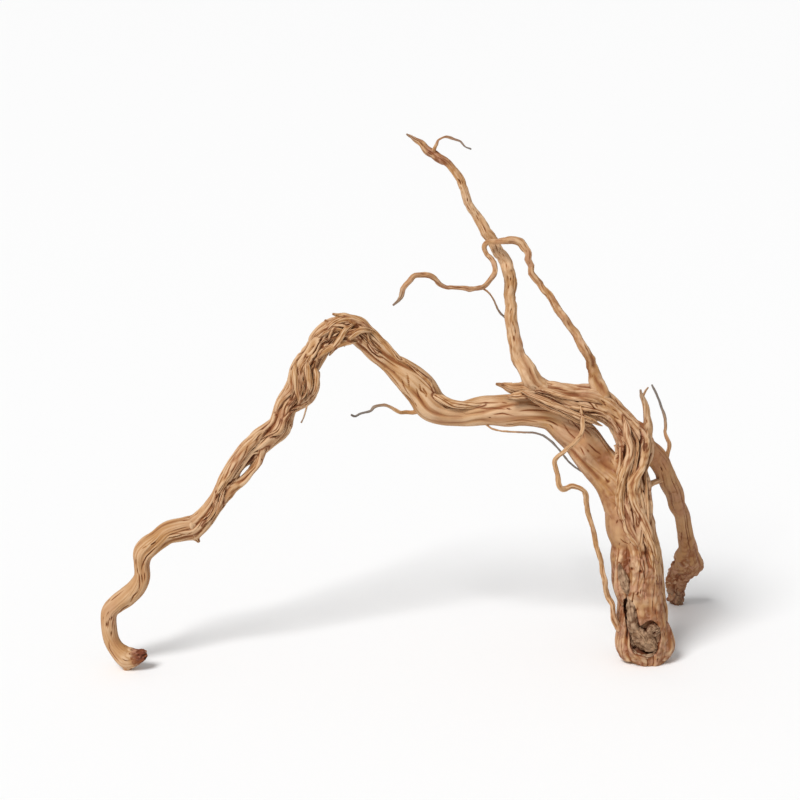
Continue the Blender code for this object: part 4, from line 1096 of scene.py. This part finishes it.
def makeSmall(routes, look, seed):
    # Twigs and strands share one look, and the thin ones have lower ridges: the look's height
    # times the mean radius over 2 mm, up to 1.
    tubes = []
    for index, (name, route) in enumerate(routes.items()):
        share = stainShares.get(name, 0.0)
        limb = {**look, "route": route, "greyFrom": greyStarts.get(name, never),
                "stain": [(0, share), (1, share)],
                "pale": [(0, look.get("paleShare", 0.0) - share), (never, 0.0)]}
        thick = np.mean(np.array(route)[:, 3])
        limb["ridgeHeight"] = look["ridgeHeight"] * min(1.0, thick / 2.0)
        tubes.append(makeLimb(name, limb, np.random.default_rng(seed + index)))
    return tubes


burrLook = {"rows": 80, "columns": 110, "strayLength": 9.0, "knobLength": 4.6, "knobHeight": 0.45,
            "eyeWidth": 1.2, "eyeDepth": 1.8, "ridgeWidth": 1.3, "footFrom": 0.95}

burrLumps = {
    # centre, half sizes and tilt in degrees; the eye that the folds run round, folds per
    # millimetre and their height; the ridge's height
    "shell": ((175.8, -60.8, 21.8), (12.6, 5.4, 7.6), -41.0, (200.0, -62.0, 48.0), 0.21, 0.5, 3.4),
    "knob": ((182.6, -63.0, 29.8), (4.7, 4.6, 4.7), 0.0, (183.2, -67.5, 29.2), 0.48, 0.6, 0.0),
    "back": ((172.5, -56.5, 30.0), (5.0, 4.0, 5.0), 0.0, (160.0, -62.0, 24.0), 0.30, 0.4, 0.0),
    "lower": ((167.0, -58.0, 21.0), (3.4, 4.2, 6.0), 15.0, (160.0, -62.0, 24.0), 0.30, 0.4, 0.0),
}


def makeLump(lump, rng):
    # A closed knob: a tilted ellipsoid about a line to the front, with folds h * |sin(pi f d)|^0.7
    # in rings at distance d from its eye, a dent at the eye, fine ripples, and a ridge
    # exp(-|distance| / width) along it. Its poles face the front and the back.
    centre, half, tilt, eye, folds, foldHeight, ridgeHeight = lump
    rows, columns = burrLook["rows"], burrLook["columns"]
    down = (np.arange(rows)[:, None] + 1.0) * math.pi / (rows + 1)
    around = np.arange(columns)[None, :] * fullTurn / columns
    ball = np.stack([np.sin(down) * np.cos(around), -np.cos(down) + 0.0 * around,
                     np.sin(down) * np.sin(around)], -1)
    cosine, sine = math.cos(math.radians(tilt)), math.sin(math.radians(tilt))
    turned = np.array([(cosine, 0.0, sine), (0.0, 1.0, 0.0), (-sine, 0.0, cosine)])
    points = np.array(centre) + ball * half @ turned
    stray = 1.3 * ripples(points, rng, 6, burrLook["strayLength"])[..., None]
    distance = np.linalg.norm(points + stray - eye, axis=-1)
    fold = np.abs(np.sin(math.pi * folds * distance)) ** 0.7
    knobs = np.abs(ripples(points, rng, 14, burrLook["knobLength"]))
    eyeDent = np.exp(-(np.linalg.norm(points - eye, axis=-1) / burrLook["eyeWidth"]) ** 2)
    across = (ball * half)[..., 2] - 0.3 * half[2] + 0.6 * ripples(points, rng, 5, 8.0)
    ridge = np.exp(-np.abs(across) / burrLook["ridgeWidth"])
    ridge = ridge * np.cos(np.minimum(down, 0.5 * math.pi)) ** 0.4
    rise = foldHeight * (2.0 * fold - 1.0) + burrLook["knobHeight"] * (np.minimum(knobs, 1.5) - 0.7)
    rise = rise - burrLook["eyeDepth"] * eyeDent
    rings = points + rise[..., None] * (ball @ turned)
    rings[..., 1] -= ridgeHeight * ridge
    foot = np.clip((down - burrLook["footFrom"]) / 0.55, 0.0, 1.0)
    # Painted shade goes into the folds, the low places and the eye, and towards the back where the knob meets
    # the wood it sits on.
    dark = np.clip(0.55 - fold, 0.0, 0.5) + 0.8 * np.clip(0.25 - knobs, 0.0, 0.25)
    dark = dark + eyeDent + 0.7 * foot
    # Along the ridge a painted highlight: paler, with less burr colour.
    ridgeHighlight = min(ridgeHeight, 1.0) * ridge
    values = {"cavityShade": np.clip(dark, 0.0, 1.0), "valley": 0.0 * dark, "grain": points,
              "grey": 0.0 * dark, "shadeHighlightAndPale": -ridgeHighlight, "burr": 0.85 - 0.45 * ridgeHighlight, "torn": 0.0 * dark}
    poles = np.array([rings[0].mean(0), rings[-1].mean(0)])
    return {"rings": rings, "poles": poles, "values": values}


lumps = [makeLump(lump, np.random.default_rng(160 + index))
         for index, lump in enumerate(burrLumps.values())]
burrStrandLook = {**strandLook, "taper": 8.0, "burr": 0.8, "knobs": [(20, 0, 100, 200, 0.7)],
                  "knobLength": 4.0, "step": 0.7}
fineLook = {**strandLook, "taper": 9.0, "columns": 26}
addPiece("burr", lumps + makeSmall(burrRoutes, burrStrandLook, 170), driftwoodFinish)
addPiece("fineStrands", makeSmall(fineRoutes, fineLook, 200), driftwoodFinish)
addPiece("twigs", makeSmall(twigRoutes, twigLook, 40), driftwoodFinish)
addPiece("strands", makeSmall(strandRoutes, {**strandLook, "taper": 12.0}, 80), driftwoodFinish)
addPiece("stubs", makeSmall(stubRoutes, strandLook, 120), driftwoodFinish)


studio = {
    "cameraPlace": (-0.009, -1.6311, 0.66075),
    "cameraTarget": (-0.009, -0.029, 0.20135),
    "lens": 100.0,
    "floorSize": 9.0,       # from the middle to the edge
    "floorColour": (0.93, 0.93, 0.93),
    "skyStrength": 0.42,
    "keyFrom": (-0.75, -1.0, 1.45), "keyStrength": 2.7, "keySoftness": 24.0,
}


def addKeyLight():
    # A wide soft light from the upper left in front. Like a big window far off, it falls evenly
    # on the whole floor.
    light = bpy.data.lights.new("keyLight", "SUN")
    light.energy = studio["keyStrength"]
    light.angle = math.radians(studio["keySoftness"])
    lamp = bpy.data.objects.new("keyLight", light)
    lamp.location = studio["keyFrom"]
    lamp.rotation_euler = aimed(studio["keyFrom"], (0.0, 0.0, 0.0))
    bpy.context.scene.collection.objects.link(lamp)


def aimed(place, target):
    # The turn that points an object's -z axis from a place at a target, with its y axis up.
    x, y, z = np.subtract(target, place)
    return (math.atan2(math.hypot(x, y), -z), 0.0, math.atan2(y, x) - 0.5 * math.pi)


def addFloor():
    # A flat square grid in the ground plane, count points each way.
    count = 9
    steps = np.linspace(-1.0, 1.0, count) * studio["floorSize"]
    x, y = np.meshgrid(steps, steps)
    vertices = np.stack([x.ravel(), y.ravel(), 0.0 * x.ravel()], -1)
    corner = (np.arange(count - 1)[:, None] * count + np.arange(count - 1)).ravel()
    faces = np.stack([corner, corner + 1, corner + count + 1, corner + count], -1)
    mesh = bpy.data.meshes.new("floor")
    mesh.from_pydata(vertices.tolist(), [], faces.tolist())
    material = bpy.data.materials.new("paleFloor")
    material.use_nodes = True
    shader = material.node_tree.nodes["Principled BSDF"]
    shader.inputs["Base Color"].default_value = (*studio["floorColour"], 1.0)
    shader.inputs["Roughness"].default_value = 0.9
    mesh.materials.append(material)
    floor = bpy.data.objects.new("floor", mesh)
    bpy.context.scene.collection.objects.link(floor)


scene = bpy.context.scene
addFloor()
addKeyLight()
world = bpy.data.worlds.new("studio")
world.use_nodes = True
world.node_tree.nodes["Background"].inputs["Color"].default_value = (1.0, 1.0, 1.0, 1.0)
world.node_tree.nodes["Background"].inputs["Strength"].default_value = studio["skyStrength"]
scene.world = world
scene.view_settings.view_transform = "Standard"

cameraData = bpy.data.cameras.new("camera")
cameraData.lens = studio["lens"]
cameraData.sensor_width = 36.0
camera = bpy.data.objects.new("camera", cameraData)
camera.location = studio["cameraPlace"]
camera.rotation_euler = aimed(studio["cameraPlace"], studio["cameraTarget"])
scene.collection.objects.link(camera)
scene.camera = camera
print("studio made")
